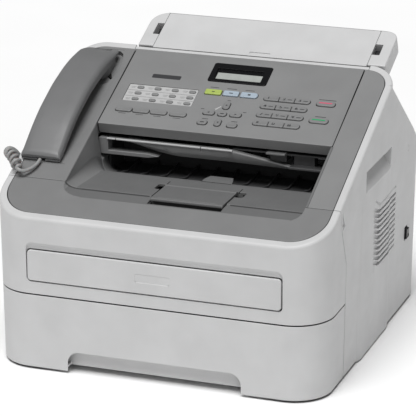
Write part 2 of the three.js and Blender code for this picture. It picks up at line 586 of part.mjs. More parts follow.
const vectors = (points) => points.map((p) => new THREE.Vector3(...p));
const coilRoute = new THREE.CatmullRomCurve3(vectors([
  [-171.5, -125.5, 203.6], [-174.5, -118.5, 206], [-181, -110.5, 208.8], [-188, -104.5, 207],
  [-191.6, -99.5, 199], [-192, -95, 185], [-191.8, -90.5, 160], [-191.8, -88, 130],
  [-191.8, -87.5, 95], [-191.8, -87, 58], [-191.8, -82, 38], [-191.8, -66, 28],
  [-191.8, -50, 38], [-191.8, -44.5, 58], [-191.8, -44, 68]]));
const tailRoutes = {
  handset: [[-155.5, -102.4, 208.2], [-156, -108, 205.6], [-158, -115, 203], [-161.5, -121.5, 201.4],
    [-165.5, -126, 201.2], [-169.2, -127.4, 202.4], [-170.7, -127.2, 203.1]],
  jack: [[-191.8, -44, 68.6], [-192.6, -44, 72], [-195.6, -44, 77.5], [-199, -44, 82],
    [-200.6, -44, 86.6], [-199, -44, 91], [-195.5, -44, 93.5], [-192, -44, 94], [-189, -44, 94]],
};

function tube(route, diameter, sides, steps) {
  const section = new THREE.Shape(Array.from({ length: sides }, (_, i) => {
    const angle = (2 * Math.PI * i) / sides;
    return new THREE.Vector2(Math.cos(angle), Math.sin(angle)).multiplyScalar(diameter / 2);
  }));
  return new THREE.ExtrudeGeometry(section, { steps, extrudePath: route, bevelEnabled: false });
}
add("cord_coil", toSolid(tube(coilRoute, CORD.coil, 9, 36)), cordGrey);
for (const [end, points] of Object.entries(tailRoutes)) {
  const route = new THREE.CatmullRomCurve3(vectors(points));
  add(`cord_tail_${end}`, toSolid(tube(route, CORD.wire, 8, 10)), cordGrey);
}

export default model;
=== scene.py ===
import math

import bmesh
import bpy
from mathutils import Matrix, Vector


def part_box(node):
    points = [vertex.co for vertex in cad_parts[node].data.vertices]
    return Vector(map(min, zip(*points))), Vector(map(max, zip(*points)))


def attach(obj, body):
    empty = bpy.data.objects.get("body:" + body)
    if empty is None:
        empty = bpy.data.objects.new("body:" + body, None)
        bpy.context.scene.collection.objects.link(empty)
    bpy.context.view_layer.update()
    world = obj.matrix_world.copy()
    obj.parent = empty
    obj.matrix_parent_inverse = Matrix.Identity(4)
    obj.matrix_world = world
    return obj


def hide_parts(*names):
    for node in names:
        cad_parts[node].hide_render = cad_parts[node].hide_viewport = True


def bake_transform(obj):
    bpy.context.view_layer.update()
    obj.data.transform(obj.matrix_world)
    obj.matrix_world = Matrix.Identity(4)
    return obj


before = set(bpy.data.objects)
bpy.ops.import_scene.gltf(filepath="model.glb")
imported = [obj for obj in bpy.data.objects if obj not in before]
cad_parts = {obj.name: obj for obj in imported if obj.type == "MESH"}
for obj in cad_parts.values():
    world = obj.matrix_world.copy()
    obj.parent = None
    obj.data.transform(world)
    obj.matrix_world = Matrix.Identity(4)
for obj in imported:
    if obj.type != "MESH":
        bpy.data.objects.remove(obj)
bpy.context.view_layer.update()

MM = 0.001

# ---- the CAD model's driving dimensions, in millimetres ----
HALF_WIDTH, FRONT, BACK, BOTTOM = 184.0, -180.0, 180.0, 1.5
WALL, EDGE, GAP = 3.0, 2.8, 0.4  # EDGE is the radius along the casing's upper edge
FRONT_CORNER, REAR_CORNER = 44.0, 9.0
SLOPE, SLOPE_START = math.radians(24.1), 169.0
RIDGE_Y = 62.5
REAR_TOP = [(RIDGE_Y, 277.5), (158, 205), (170, 194), (177, 183), (BACK, 173)]
BLOCK_BACK, BLOCK_CORNER = 92.0, 33.0
RIM, RIM_FRONT_CORNER, RIM_REAR_CORNER, RIM_BACK = 7.8, 36.0, 25.0, 83.6
SIDE_SEAM, TOP_SEAM, SEAM_HALF = -97.8, -123.5, 0.4
TRAY_TOP, COVER_BOTTOM = 83.8, 85.5
REAR_SEAMS, REAR_SEAM_Y = (-118.9, 151.3), 104.4
BAY_LEFT, BAY_RIGHT, BAY_FLOOR = -108.0, 146.0, 188.0
DRAFT = 2.2  # the casing is this much narrower at its foot
FAR, ACROSS = 400, (-250, 250)  # well outside the machine

SIN, COS = math.sin(SLOPE), math.cos(SLOPE)


def on_slope(x, s, h):
    """A point from its distance up the sloping top and its height over it."""
    return (x, FRONT + s * COS - h * SIN, SLOPE_START + s * SIN + h * COS)


def upright(x, y, z):
    return (x, y, z)


def facing(x, z, y):
    """A shape drawn as seen from the front, and its depth."""
    return (x, y, z)


def into_front(x, z, depth):
    """A shape drawn as seen from the front, and its depth behind the front face."""
    return (x, FRONT + depth, z)


def sideways(y, z, x):
    """A shape drawn as seen from the right side, and its distance across."""
    return (x, y, z)


def slope_height(y):
    return SLOPE_START + math.tan(SLOPE) * (y - FRONT)


def box_mm(node):
    """The (low, high) pair of a CAD node along x, y and z."""
    low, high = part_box(node)
    return [(low[i] / MM, high[i] / MM) for i in range(3)]


def slope_box(node):
    """The (low, high) pair of a CAD node along x, up the slope and over it."""
    found = []
    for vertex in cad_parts[node].data.vertices:
        x, y, z = (value / MM for value in vertex.co)
        dy, dz = y - FRONT, z - SLOPE_START
        found.append((x, dy * COS + dz * SIN, dz * COS - dy * SIN))
    return [(min(p[i] for p in found), max(p[i] for p in found)) for i in range(3)]


# ---- camera and lights ----
LENS, CAMERA_AT = 214.1, (0.854445, -2.406464, 0.980129)
CAMERA_DOWN, CAMERA_TURN = 18.23, 19.61  # degrees below level, and round from the front
WORLD_LIGHT = 0.21
SOFTBOX_TOWARD, SOFTBOX_ANGLE, SOFTBOX_STRENGTH = (0.0, -0.32, 0.76), 36, 2.94


def link(made):
    bpy.context.scene.collection.objects.link(made)
    return made


def add_camera():
    data = bpy.data.cameras.new("camera")
    data.lens = LENS
    camera = link(bpy.data.objects.new("camera", data))
    camera.location = CAMERA_AT
    camera.rotation_euler = (math.radians(90 - CAMERA_DOWN), 0, math.radians(CAMERA_TURN))
    bpy.context.scene.camera = camera


def add_studio():
    world = bpy.data.worlds.new("studio")
    bpy.context.scene.world = world
    world.use_nodes = True
    background = world.node_tree.nodes["Background"]
    background.inputs["Color"].default_value = (1.0, 1.0, 1.0, 1)
    background.inputs["Strength"].default_value = WORLD_LIGHT
    data = bpy.data.lights.new("softbox", "SUN")
    data.angle, data.energy = math.radians(SOFTBOX_ANGLE), SOFTBOX_STRENGTH
    lamp = link(bpy.data.objects.new("softbox", data))
    lamp.location = SOFTBOX_TOWARD
    lamp.rotation_euler = Vector(SOFTBOX_TOWARD).to_track_quat("Z", "Y").to_euler()
    bpy.context.scene.view_settings.view_transform = "Standard"
    bpy.ops.mesh.primitive_plane_add(size=24, location=(0, 0, 0))
    floor = bpy.context.object
    floor.name = "floor"
    floor.data.materials.append(floor_paint())


# ---- outlines, in the plane ----
def arc(cx, cy, radius, start, end, steps):
    """Points of an arc, angles in degrees."""
    angles = [math.radians(start + (end - start) * i / steps) for i in range(steps + 1)]
    return [(cx + radius * math.cos(a), cy + radius * math.sin(a)) for a in angles]


def rounded(x, y, radii, steps=6):
    """A rectangle with round corners: radii run lower right, upper right, upper left, lower left."""
    lr, ur, ul, ll = radii if isinstance(radii, (tuple, list)) else (radii,) * 4
    points = []
    for cx, cy, radius, start in (
            (x[1] - lr, y[0] + lr, lr, -90), (x[1] - ur, y[1] - ur, ur, 0),
            (x[0] + ul, y[1] - ul, ul, 90), (x[0] + ll, y[0] + ll, ll, 180)):
        points += arc(cx, cy, radius, start, start + 90, steps) if radius > 0 else [(cx, cy)]
    return points


def grow(pair, by):
    return (pair[0] - by, pair[1] + by)


def smooth_step(t):
    t = max(0.0, min(1.0, t))
    return t * t * (3 - 2 * t)


def curve_through(points, steps):
    """A smooth line through points, with that many steps between two of them."""
    found = []
    for k in range(len(points) - 1):
        p1, p2 = Vector(points[k]), Vector(points[k + 1])
        p0 = Vector(points[k - 1]) if k else 2 * p1 - p2
        p3 = Vector(points[k + 2]) if k + 2 < len(points) else 2 * p2 - p1
        # knot spacing by the root of the distance keeps the line from looping
        d0, d1, d2 = (max(1e-6, (b - a).length ** 0.5) for a, b in ((p0, p1), (p1, p2), (p2, p3)))
        m1 = (p1 - p0) / d0 - (p2 - p0) / (d0 + d1) + (p2 - p1) / d1
        m2 = (p2 - p1) / d1 - (p3 - p1) / (d1 + d2) + (p3 - p2) / d2
        for t in (i / steps for i in range(steps)):
            found.append(
                (2 * t**3 - 3 * t**2 + 1) * p1 + (t**3 - 2 * t**2 + t) * d1 * m1
                + (3 * t**2 - 2 * t**3) * p2 + (t**3 - t**2) * d1 * m2)
    return found + [Vector(points[-1])]


# ---- solids ----
def to_object(bm):
    mesh = bpy.data.meshes.new("piece")
    bm.to_mesh(mesh)
    bm.free()
    return link(bpy.data.objects.new("piece", mesh))


def from_faces(points, faces):
    """A mesh object in metres from points in millimetres."""
    bm = bmesh.new()
    corners = [bm.verts.new(Vector(p) * MM) for p in points]
    for face in faces:
        bm.faces.new([corners[i] for i in face])
    bmesh.ops.recalc_face_normals(bm, faces=bm.faces)
    return to_object(bm)


def side_faces(rings, count):
    """The faces between rings of count points each."""
    return [[k * count + i, k * count + j, (k + 1) * count + j, (k + 1) * count + i]
            for k in range(rings - 1) for i in range(count) for j in ((i + 1) % count,)]


def stack(rings):
    """A closed solid through rings with the same number of points."""
    count = len(rings[0])
    points = [p for ring in rings for p in ring]
    ends = [list(range(count)), list(range(len(points) - count, len(points)))]
    return from_faces(points, ends + side_faces(len(rings), count))


def prism(outline, span, place):
    return stack([[place(a, b, depth) for a, b in outline] for depth in span])


def slope_block(x, s, h, radii=0, steps=6):
    """A round-cornered block on the sloping top."""
    return prism(rounded(x, s, radii, steps), h, on_slope)


def equal_blocks(starts, width, y, z):
    """Equal blocks, such as ribs or slots, that start at these places across."""
    return [block((x, x + width), y, z) for x in starts]


def tiers(place, a, b, radii, levels, steps=6, least=None):
    """A solid over a round-cornered rectangle that grows by each (depth, growth) level.

    The corners keep their radii, or follow the growth down to the least radius."""
    rings = []
    for depth, by in levels:
        corners = radii if isinstance(radii, (tuple, list)) else (radii,) * 4
        if least is not None:
            corners = tuple(max(least, radius + by) for radius in corners)
        rings.append([place(p, q, depth) for p, q in rounded(grow(a, by), grow(b, by), corners, steps)])
    return stack(rings)


def block(x, y, z):
    return prism(rounded(x, y, 0), z, upright)


def rod(x, y, z, radius, sides=40):
    return prism(arc(y, z, radius, 0, 360 - 360 / sides, sides - 1), x, sideways)


def apply_modifiers(piece):
    graph = bpy.context.evaluated_depsgraph_get()
    mesh = bpy.data.meshes.new_from_object(piece.evaluated_get(graph))
    piece.modifiers.clear()
    piece.data = mesh


def carve(base, how, tools):
    """Joins, cuts or crosses base with tools, in order, and uses the tools up."""
    for tool in tools:
        step = base.modifiers.new("cut", "BOOLEAN")
        step.operation, step.object, step.solver = how, tool, "MANIFOLD"
    apply_modifiers(base)
    for tool in tools:
        bpy.data.objects.remove(tool)
    bm = bmesh.new()
    bm.from_mesh(base.data)
    bmesh.ops.remove_doubles(bm, verts=bm.verts, dist=2e-6)
    bmesh.ops.dissolve_limit(bm, angle_limit=math.radians(0.6), verts=bm.verts, edges=bm.edges)
    bm.to_mesh(base.data)
    bm.free()
    return base


def cut(base, *tools):
    return carve(base, "DIFFERENCE", tools)


def join(base, *tools):
    return carve(base, "UNION", tools)


def cross(base, *tools):
    return carve(base, "INTERSECT", tools)


def copy_of(piece):
    made = piece.copy()
    made.data = piece.data.copy()
    return link(made)


def painted(piece, *paints):
    """Sets a piece's materials. Its faces keep the first until they are told otherwise."""
    piece.data.materials.clear()
    for paint in paints:
        piece.data.materials.append(paint)
    return piece


def merge(*pieces):
    """One object from several, without cutting them together. Their materials are kept."""
    bm = bmesh.new()
    paints = []
    for piece in pieces:
        start = len(bm.faces)
        bm.from_mesh(piece.data)
        bm.faces.ensure_lookup_table()
        own = list(piece.data.materials) or [None]
        paints += [paint for paint in own if paint not in paints]
        places = [paints.index(paint) for paint in own]
        for face in bm.faces[start:]:
            face.material_index = places[min(face.material_index, len(places) - 1)]
        bpy.data.objects.remove(piece)
    made = to_object(bm)
    for paint in paints:  # not painted(), which would give every face the first material
        made.data.materials.append(paint)
    return made


def smooth(piece):
    for face in piece.data.polygons:
        face.use_smooth = True
    return piece


def add_bevel(piece, width, angle, harden):
    bevel = piece.modifiers.new("edge", "BEVEL")
    bevel.width, bevel.segments = width * MM, 2
    bevel.limit_method, bevel.angle_limit = "ANGLE", math.radians(angle)
    bevel.harden_normals = harden
    return bevel


def soften(piece, width):
    """Rounds the sharp edges of a piece and shades the rest smooth."""
    smooth(piece)
    if width:
        bevel = add_bevel(piece, width, 32, True)
        bevel.use_clamp_overlap = False
        bevel.miter_outer = "MITER_ARC"
    normals = piece.modifiers.new("normals", "WEIGHTED_NORMAL")
    normals.keep_sharp = True
    normals.weight = 80


def show(name, piece, paint, node=None, edge=0.5, body="main_body", slot=None):
    """Finishes a piece: its edges, its material, its body and the CAD node it stands for.

    Without a paint the piece keeps its own materials, and without an edge its own shading."""
    piece.name = name
    if paint:
        painted(piece, paint)
    if edge is not None:
        soften(piece, edge)
    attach(piece, body)
    slot or SLOTS[paint]
    if node:
        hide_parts(node)


# ---- materials ----
class Nodes:
    """Short calls for building one material's nodes."""

    def __init__(self, name):
        self.material = bpy.data.materials.new(name)
        self.material.use_nodes = True
        self.tree = self.material.node_tree
        self.shader = self.tree.nodes["Principled BSDF"]
        self.place = self.add("ShaderNodeTexCoord").outputs["Object"]

    def add(self, kind, inputs=(), **values):
        """A node with its own values, and with a number or a link for each named input."""
        node = self.tree.nodes.new(kind)
        for key, value in values.items():
            setattr(node, key, value)
        for key, value in dict(inputs).items():
            if isinstance(value, bpy.types.NodeSocket):
                self.link(value, node.inputs[key])
            else:
                node.inputs[key].default_value = value
        return node

    def link(self, a, b):
        self.tree.links.new(a, b)

    def noise(self, size_mm, detail=3.0, roughness=0.55, stretch=None):
        """Noise whose features are about size_mm across."""
        source = self.place
        if stretch:
            source = self.add("ShaderNodeMapping", {"Scale": stretch, "Vector": self.place}).outputs["Vector"]
        return self.add("ShaderNodeTexNoise", {
            "Scale": 1.0 / (size_mm * MM), "Detail": detail, "Roughness": roughness, "Vector": source,
        }).outputs["Fac"]

    def ramp(self, value, low, high, out_low=0.0, out_high=1.0):
        return self.add("ShaderNodeMapRange", {
            "From Min": low, "From Max": high, "To Min": out_low, "To Max": out_high, "Value": value,
        }).outputs["Result"]

    def mix(self, factor, first, second):
        node = self.add("ShaderNodeMix", {"Factor": factor}, data_type="RGBA")
        for key, colour in (("A", first), ("B", second)):
            socket = next(s for s in node.inputs if s.name == key and s.type == "RGBA")
            if isinstance(colour, tuple):
                socket.default_value = (*colour, 1)
            else:
                self.link(colour, socket)
        return next(s for s in node.outputs if s.type == "RGBA")

    def drift(self, value, colour, factor, low=0.3, high=0.7):
        """The colour, turning to a shade of it where the value is low."""
        return self.mix(self.ramp(value, low, high), shade(colour, factor), colour)

    def maths(self, operation, first, second):
        return self.add("ShaderNodeMath", {0: first, 1: second}, operation=operation).outputs[0]

    def edges(self, radius_mm):
        """1 along outer and inner edges, 0 on open surfaces."""
        bevel = self.add("ShaderNodeBevel", {"Radius": radius_mm * MM}, samples=4)
        geometry = self.add("ShaderNodeNewGeometry")
        dot = self.add("ShaderNodeVectorMath", {
            0: bevel.outputs["Normal"], 1: geometry.outputs["True Normal"]}, operation="DOT_PRODUCT")
        return self.ramp(dot.outputs["Value"], 0.995, 0.86)

    def bump(self, *layers):
        """Stacks (height, depth in mm) layers into the shader's normal."""
        below = {}
        for height, depth in layers:
            node = self.add("ShaderNodeBump", {
                "Strength": 1.0, "Distance": depth * MM, "Height": height, **below})
            below = {"Normal": node.outputs["Normal"]}
        self.link(below["Normal"], self.shader.inputs["Normal"])

    def paint(self, colour, roughness, **constants):
        """Ends the material: its colour, its roughness and constants for the shader's own sockets."""
        self.link(colour, self.shader.inputs["Base Color"])
        self.link(roughness, self.shader.inputs["Roughness"])
        for key, value in constants.items():
            self.shader.inputs[key.replace("_", " ")].default_value = value
        return self.material


def shade(colour, factor):
    return tuple(min(1.0, value * factor) for value in colour)


def moulded_plastic(name, colour, roughness=0.5, grain=0.45, worn=1.1):
    """Spark-eroded moulding grain, a faint colour drift, scuffs, and edges polished by handling."""
    made = Nodes(name)
    scuffs = made.noise(9, 5.0, 0.7, (1.0, 0.35, 1.0))
    edge = made.edges(0.7)
    tone = made.drift(made.noise(38, 2.0), colour, 0.93)
    specks = made.ramp(made.noise(1.3, 2.0), 0.60, 0.82, 0.0, 0.35)
    tone = made.mix(specks, tone, shade(colour, 0.86))
    tone = made.mix(made.maths("MULTIPLY", edge, 0.55), tone, shade(colour, worn))
    rough = made.ramp(scuffs, 0.25, 0.75, roughness - 0.06, roughness + 0.07)
    rough = made.maths("SUBTRACT", rough, made.maths("MULTIPLY", edge, 0.12))
    made.bump((made.noise(grain, 1.5), 0.012), (made.noise(6, 2.0), 0.01))
    return made.paint(tone, rough, IOR=1.46)


def smooth_plastic(name, colour, roughness=0.3, worn=1.15, **constants):
    """Polished or satin plastic with fine hairline scratches."""
    made = Nodes(name)
    lines = made.noise(0.5, 3.0, 0.6, (1.0, 0.06, 1.0))
    tone = made.drift(made.noise(14, 2.0), colour, 0.93)
    tone = made.mix(made.maths("MULTIPLY", made.edges(0.45), 0.5), tone, shade(colour, worn))
    made.bump((made.noise(0.8, 2.0), 0.004), (lines, 0.002))
    return made.paint(tone, made.ramp(lines, 0.3, 0.75, roughness - 0.04, roughness + 0.1), **constants)


def ground_rubber(name, colour):
    """Roller rubber with grinding marks round it and a dusty bloom."""
    made = Nodes(name)
    bloom = made.noise(5, 4.0, 0.6)
    marks = made.noise(0.35, 2.0, 0.5, (1.0, 0.1, 0.1))
    tone = made.mix(made.ramp(bloom, 0.35, 0.75), colour, shade(colour, 2.2))
    made.bump((marks, 0.02), (made.noise(0.9, 3.0), 0.02))
    return made.paint(tone, made.ramp(bloom, 0.3, 0.7, 0.72, 0.9))


def brushed_sheet(name, colour):
    """Zinc-plated or stainless sheet, brushed along its length."""
    made = Nodes(name)
    brush = made.noise(0.6, 4.0, 0.65, (0.02, 1.0, 1.0))
    made.bump((brush, 0.006))
    return made.paint(made.drift(made.noise(22, 3.0), colour, 0.82),
                      made.ramp(brush, 0.3, 0.7, 0.26, 0.44), Metallic=1.0)


def lcd_glass(name, colour):
    """The lit, unprinted part of a liquid crystal display, with its fine dot grid."""
    made = Nodes(name)
    split = made.add("ShaderNodeSeparateXYZ", {"Vector": made.place})
    waves = []
    for axis, pitch in (("X", 0.62), ("Y", 0.68)):
        turn = made.maths("MULTIPLY", split.outputs[axis], 2 * math.pi / (pitch * MM))
        waves.append(made.maths("ABSOLUTE", made.maths("SINE", turn, 0), 0))
    grid = made.maths("MULTIPLY", *waves)
    cloud = made.noise(9, 2.0)
    tone = made.mix(made.ramp(grid, 0.1, 0.7, 0.18, 0.0), made.drift(cloud, colour, 0.9), shade(colour, 0.55))
    made.bump((made.noise(3, 2.0), 0.003))
    return made.paint(tone, made.ramp(cloud, 0.3, 0.7, 0.16, 0.24), Coat_Weight=0.6)


def curly_vinyl(name, colour):
    """Soft vinyl of the handset cord, with faint handling marks."""
    made = Nodes(name)
    grime = made.noise(7, 4.0, 0.65)
    tone = made.mix(made.ramp(grime, 0.35, 0.75), colour, shade(colour, 0.8))
    made.bump((made.noise(0.6, 2.0), 0.008))
    return made.paint(tone, made.ramp(grime, 0.3, 0.7, 0.42, 0.58), Subsurface_Weight=0.04)


def floor_paint():
    """A pale matte tabletop with almost no texture."""
    made = Nodes("pale_floor")
    cloud = made.noise(400, 2.0)
    return made.paint(made.mix(made.ramp(cloud, 0.3, 0.7), (0.93, 0.93, 0.93), (0.95, 0.95, 0.95)),
                      made.ramp(cloud, 0.3, 0.7, 0.78, 0.85))


paint_light = moulded_plastic("light_plastic", (0.575, 0.576, 0.578), 0.46)
paint_grey = moulded_plastic("grey_plastic", (0.196, 0.197, 0.198))
# a darker copy of the grey plastic: painted shade for the floor, flap and latch down in the output bay
paint_bay_shade = moulded_plastic("bay_shade_plastic", (0.146, 0.147, 0.148))
paint_panel = moulded_plastic("panel_plastic", (0.225, 0.226, 0.227), 0.48, 0.4)
paint_handset = moulded_plastic("handset_plastic", (0.168, 0.169, 0.171), 0.42, 0.5)
# dark plastic; also painted shade where it lines the seams, the flap's well and the guide pockets
paint_dark = moulded_plastic("dark_plastic", (0.022, 0.022, 0.024), worn=2.2)
# dark plastic for the parts inside, and painted shade where it lines the board under the keys and the bay's throat
paint_shadow = moulded_plastic("dark_mould_and_shade", (0.062, 0.062, 0.064), 0.55, worn=1.8)
paint_key = smooth_plastic("key_plastic", (0.205, 0.206, 0.207), 0.42, 1.4)
paint_green = smooth_plastic("green_key", (0.38, 0.48, 0.11), 0.34)
paint_blue = smooth_plastic("blue_key", (0.36, 0.43, 0.50), 0.34)
paint_gloss = smooth_plastic("display_glass", (0.006, 0.006, 0.007), 0.22, 2.5, IOR=1.25)
paint_label = smooth_plastic("label_sheet", (0.47, 0.47, 0.47), 0.45)
paint_ink = smooth_plastic("printed_ink", (0.03, 0.03, 0.033), 0.45)
paint_red = smooth_plastic("red_mark", (0.60, 0.09, 0.16), 0.36)
paint_start = smooth_plastic("green_mark", (0.015, 0.33, 0.12), 0.36)
paint_lcd = lcd_glass("display_lcd", (0.42, 0.44, 0.42))
paint_rubber = ground_rubber("roller_rubber", (0.018, 0.018, 0.018))
paint_steel = brushed_sheet("tray_steel", (0.56, 0.56, 0.57))
paint_copper = brushed_sheet("contact_brass", (0.78, 0.60, 0.30))
paint_vinyl = curly_vinyl("cord_vinyl", (0.31, 0.31, 0.31))

SLOTS = {
    paint_light: "light_plastic", paint_handset: "handset_plastic", paint_key: "key_plastic",
    paint_green: "green_key", paint_blue: "blue_key",
    **dict.fromkeys((paint_grey, paint_bay_shade, paint_panel), "grey_plastic"),
    **dict.fromkeys((paint_dark, paint_shadow, paint_ink, paint_label), "dark_plastic"),
}


# ---- the handset's curly cord ----
WIRE, COIL_RADIUS, COIL_PITCH, TURN_POINTS = 3.9, 4.65, 4.65, 14
HANDSET_TAIL = [
    (-155.5, -102.4, 208.2), (-156, -108, 205.6), (-158, -115, 203), (-161.5, -121.5, 201.4),
    (-165.5, -126, 201.2), (-169.2, -127.4, 202.4), (-170.7, -127.2, 203.1),
]
COIL_ROUTE = [
    (-171.5, -125.5, 203.6), (-177, -118.5, 208.5), (-184, -112, 212.5), (-189.5, -105, 213),
    (-191.8, -95, 209.5), (-192.2, -84, 202), (-192.2, -74, 188), (-192, -74, 165),
    (-191.8, -81, 138), (-191.8, -86, 110), (-191.8, -87.5, 84), (-191.8, -87, 58), (-191.8, -82, 38),
    (-191.8, -66, 28), (-191.8, -50, 38), (-191.8, -44.5, 58), (-191.8, -44, 68),
]
JACK_TAIL = [
    (-191.8, -44, 68.6), (-192.6, -44, 72), (-195.6, -44, 77.5), (-199, -44, 82),
    (-200.6, -44, 86.6), (-199, -44, 91), (-195.5, -44, 93.5), (-192, -44, 94), (-189, -44, 94),
]


def coil_points():
    """The helix round the coil's route: it opens from the handset's lead and closes on the jack's."""
    spine = curve_through(COIL_ROUTE, 60)
    reach = [0.0]
    for a, b in zip(spine, spine[1:]):
        reach.append(reach[-1] + (b - a).length)
    total = reach[-1]
    side = (Vector(HANDSET_TAIL[-1]) - spine[0]).normalized()
    found = []
    turn, done, at = 0.0, 0.0, 0
    while done < total:
        while at < len(spine) - 2 and reach[at + 1] < done:
            at += 1
        share = (done - reach[at]) / max(1e-6, reach[at + 1] - reach[at])
        centre = spine[at].lerp(spine[at + 1], share)
        ahead = (spine[at + 1] - spine[at]).normalized()
        side = (side - side.dot(ahead) * ahead).normalized()
        across = ahead.cross(side)
        radius = COIL_RADIUS * min(smooth_step(0.42 + done / 9), smooth_step((total - done) / 7 + 0.02))
        angle = 2 * math.pi * turn
        found.append(centre + radius * (math.cos(angle) * side + math.sin(angle) * across))
        # the turns stand a little apart over the handset's end of the cord
        pitch = COIL_PITCH + 1.9 * (1 - smooth_step((done - 14) / 34))
        turn += 1 / TURN_POINTS
        done += pitch / TURN_POINTS
    return found


def tube(path, diameter, sides=10):
    """A closed tube along a path."""
    side = (path[1] - path[0]).normalized().orthogonal().normalized()
    rings = []
    for k, centre in enumerate(path):
        ahead = (path[min(k + 1, len(path) - 1)] - path[max(k - 1, 0)]).normalized()
        side = (side - side.dot(ahead) * ahead).normalized()
        across = ahead.cross(side)
        rings.append([
            centre + diameter / 2 * (math.cos(a) * side + math.sin(a) * across)
            for a in (2 * math.pi * i / sides for i in range(sides))])
    return stack(rings)


def add_cord():
    path = curve_through(HANDSET_TAIL, 5)[:-1] + coil_points() + curve_through(JACK_TAIL, 4)
    even = [path[0]]
    for point in path[1:]:
        if (point - even[-1]).length > 0.8:
            even.append(point)
    cord = smooth(painted(tube(even, WIRE), paint_vinyl))
    cord.name = "handset_cord"
    route = [tuple(point * MM) for point in even]
    length = sum((b - a).length for a, b in zip(even, even[1:])) * MM
    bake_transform(cord)
    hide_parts("cord_coil", "cord_tail_handset", "cord_tail_jack")
    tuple(route[0])


add_camera()
add_cord()
add_studio()


# ---- the casing's outer form ----
def corner_plan(form, inset):
    """Right half of a plan outline, from the front corner to the rear corner."""
    r_front, r_rear = form["front_corner"], form["rear_corner"]
    points = arc(HALF_WIDTH - r_front, form["front"] + r_front, r_front - inset, -90, 0, form["steps"])
    points += [(HALF_WIDTH - inset, y) for y in form["stations"]]
    return points + arc(HALF_WIDTH - r_rear, form["back"] - r_rear, r_rear - inset, 0, 90, form["rear_steps"])


def mirror_loft(form, levels):
    """A closed form through symmetric plan outlines, each with its own inset and height."""
    points = []
    half = len(corner_plan(form, 0))
    for inset, height in levels:
        right = [(x, y, height(y)) for x, y in corner_plan(form, inset)]
        points += right + [(-x, y, z) for x, y, z in reversed(right)]
    faces = side_faces(len(levels), 2 * half)
    for start in (0, (len(levels) - 1) * 2 * half):
        for i in range(half - 1):
            faces.append([start + i, start + i + 1, start + 2 * half - 2 - i, start + 2 * half - 1 - i])
    return from_faces(points, faces)


def rear_height(y):
    for (y0, z0), (y1, z1) in zip(REAR_TOP, REAR_TOP[1:]):
        if y0 < y <= y1:
            return z0 + (z1 - z0) * (y - y0) / (y1 - y0)
    return 1000.0


def body_height(y):
    return min(slope_height(y), rear_height(y))


BODY_FORM = {
    "front": FRONT, "back": BACK, "front_corner": FRONT_CORNER, "rear_corner": REAR_CORNER,
    "steps": 22, "rear_steps": 8, "stations": [SIDE_SEAM, 0, RIDGE_Y, 158, 164, 170],
}
BLOCK_FORM = {
    "front": -60, "back": BLOCK_BACK, "front_corner": 20, "rear_corner": BLOCK_CORNER,
    "steps": 4, "rear_steps": 16, "stations": [],
}


def outer_levels(height, draft, foot):
    """Rings from the rounded lower edge up the drafted wall and over the rounded rim."""
    levels = []
    for angle in map(math.radians, (0, 22, 45, 67, 90)):
        levels.append((
            draft + foot * (1 - math.sin(angle)), lambda y, a=angle: BOTTOM + foot * (1 - math.cos(a))))
    for angle in map(math.radians, range(0, 91, 15)):
        levels.append((
            EDGE * (1 - math.cos(angle)), lambda y, a=angle: height(y) - EDGE * (1 - math.sin(a))))
    return levels


def inner_levels(height, inset):
    return [(inset, lambda y: -20), (inset, lambda y: height(y) - WALL - 2), (inset + 2, lambda y: height(y) - WALL)]


casing = cut(
    join(mirror_loft(BODY_FORM, outer_levels(body_height, DRAFT, 3.0)),
         mirror_loft(BLOCK_FORM, outer_levels(slope_height, 0.0, 1.5))),
    mirror_loft(BODY_FORM, inner_levels(body_height, WALL)),
    mirror_loft(BLOCK_FORM, inner_levels(slope_height, WALL)))


def rim_opening(gap):
    """The opening inside the light rim."""
    return prism(rounded(
        (-HALF_WIDTH + RIM + gap, HALF_WIDTH - RIM - gap), (FRONT + RIM + gap, RIM_BACK - gap),
        (RIM_FRONT_CORNER, RIM_REAR_CORNER, RIM_REAR_CORNER, RIM_FRONT_CORNER), 20), (100, FAR), upright)


def seam_line(offset):
    return [
        (SIDE_SEAM + 2 * offset, -10), (SIDE_SEAM + 2 * offset, 129), (SIDE_SEAM - 19.6 + 2 * offset, 170),
        (TOP_SEAM + offset, 194.5), (TOP_SEAM + offset, FAR),
    ]


def before_seam():
    return prism([(-300, -10), *seam_line(-SEAM_HALF), (-300, FAR)], ACROSS, sideways)


def behind_seam():
    return prism([(300, -10), (300, FAR), *seam_line(SEAM_HALF)[::-1]], ACROSS, sideways)


def ring_wall(insets, z):
    """A thin wall that follows the casing on its inner side."""
    outside, inside = (
        mirror_loft(BODY_FORM, [(inset, lambda y: -20), (inset, lambda y, up=up: body_height(y) + up)])
        for inset, up in zip(insets, (-WALL, WALL)))
    return cross(cut(outside, inside), block(ACROSS, ACROSS, z))


# ---- side covers ----
GRIP_Y, GRIP_Z, GRIP_DEPTH = (-31, 68), (189, 208), 14
LOUVRES = {"count": 11, "y": (3, 91), "lowest": 88, "pitch": 5.95, "height": 2.6}


def grip_pocket(side):
    """The scoop behind a grip: deep at its front and top, running out towards the back."""
    face = HALF_WIDTH * side
    rings = []
    (y0, y1), (z0, z1) = GRIP_Y, GRIP_Z
    for depth, rise in ((-4, -6.0), (0, -4.2), (3, 0.2), (7, 5.5), (11, 11.0), (GRIP_DEPTH, 14.5)):
        x = face - depth * side
        inner = abs(face - x) * 0.10
        rings.append([(x, y, z) for y, z in (
            (y0 + inner, z0 + rise), (y1 - inner, z0 + rise), (y1 - inner, z1), (y0 + inner, z1))])
    return stack(rings)


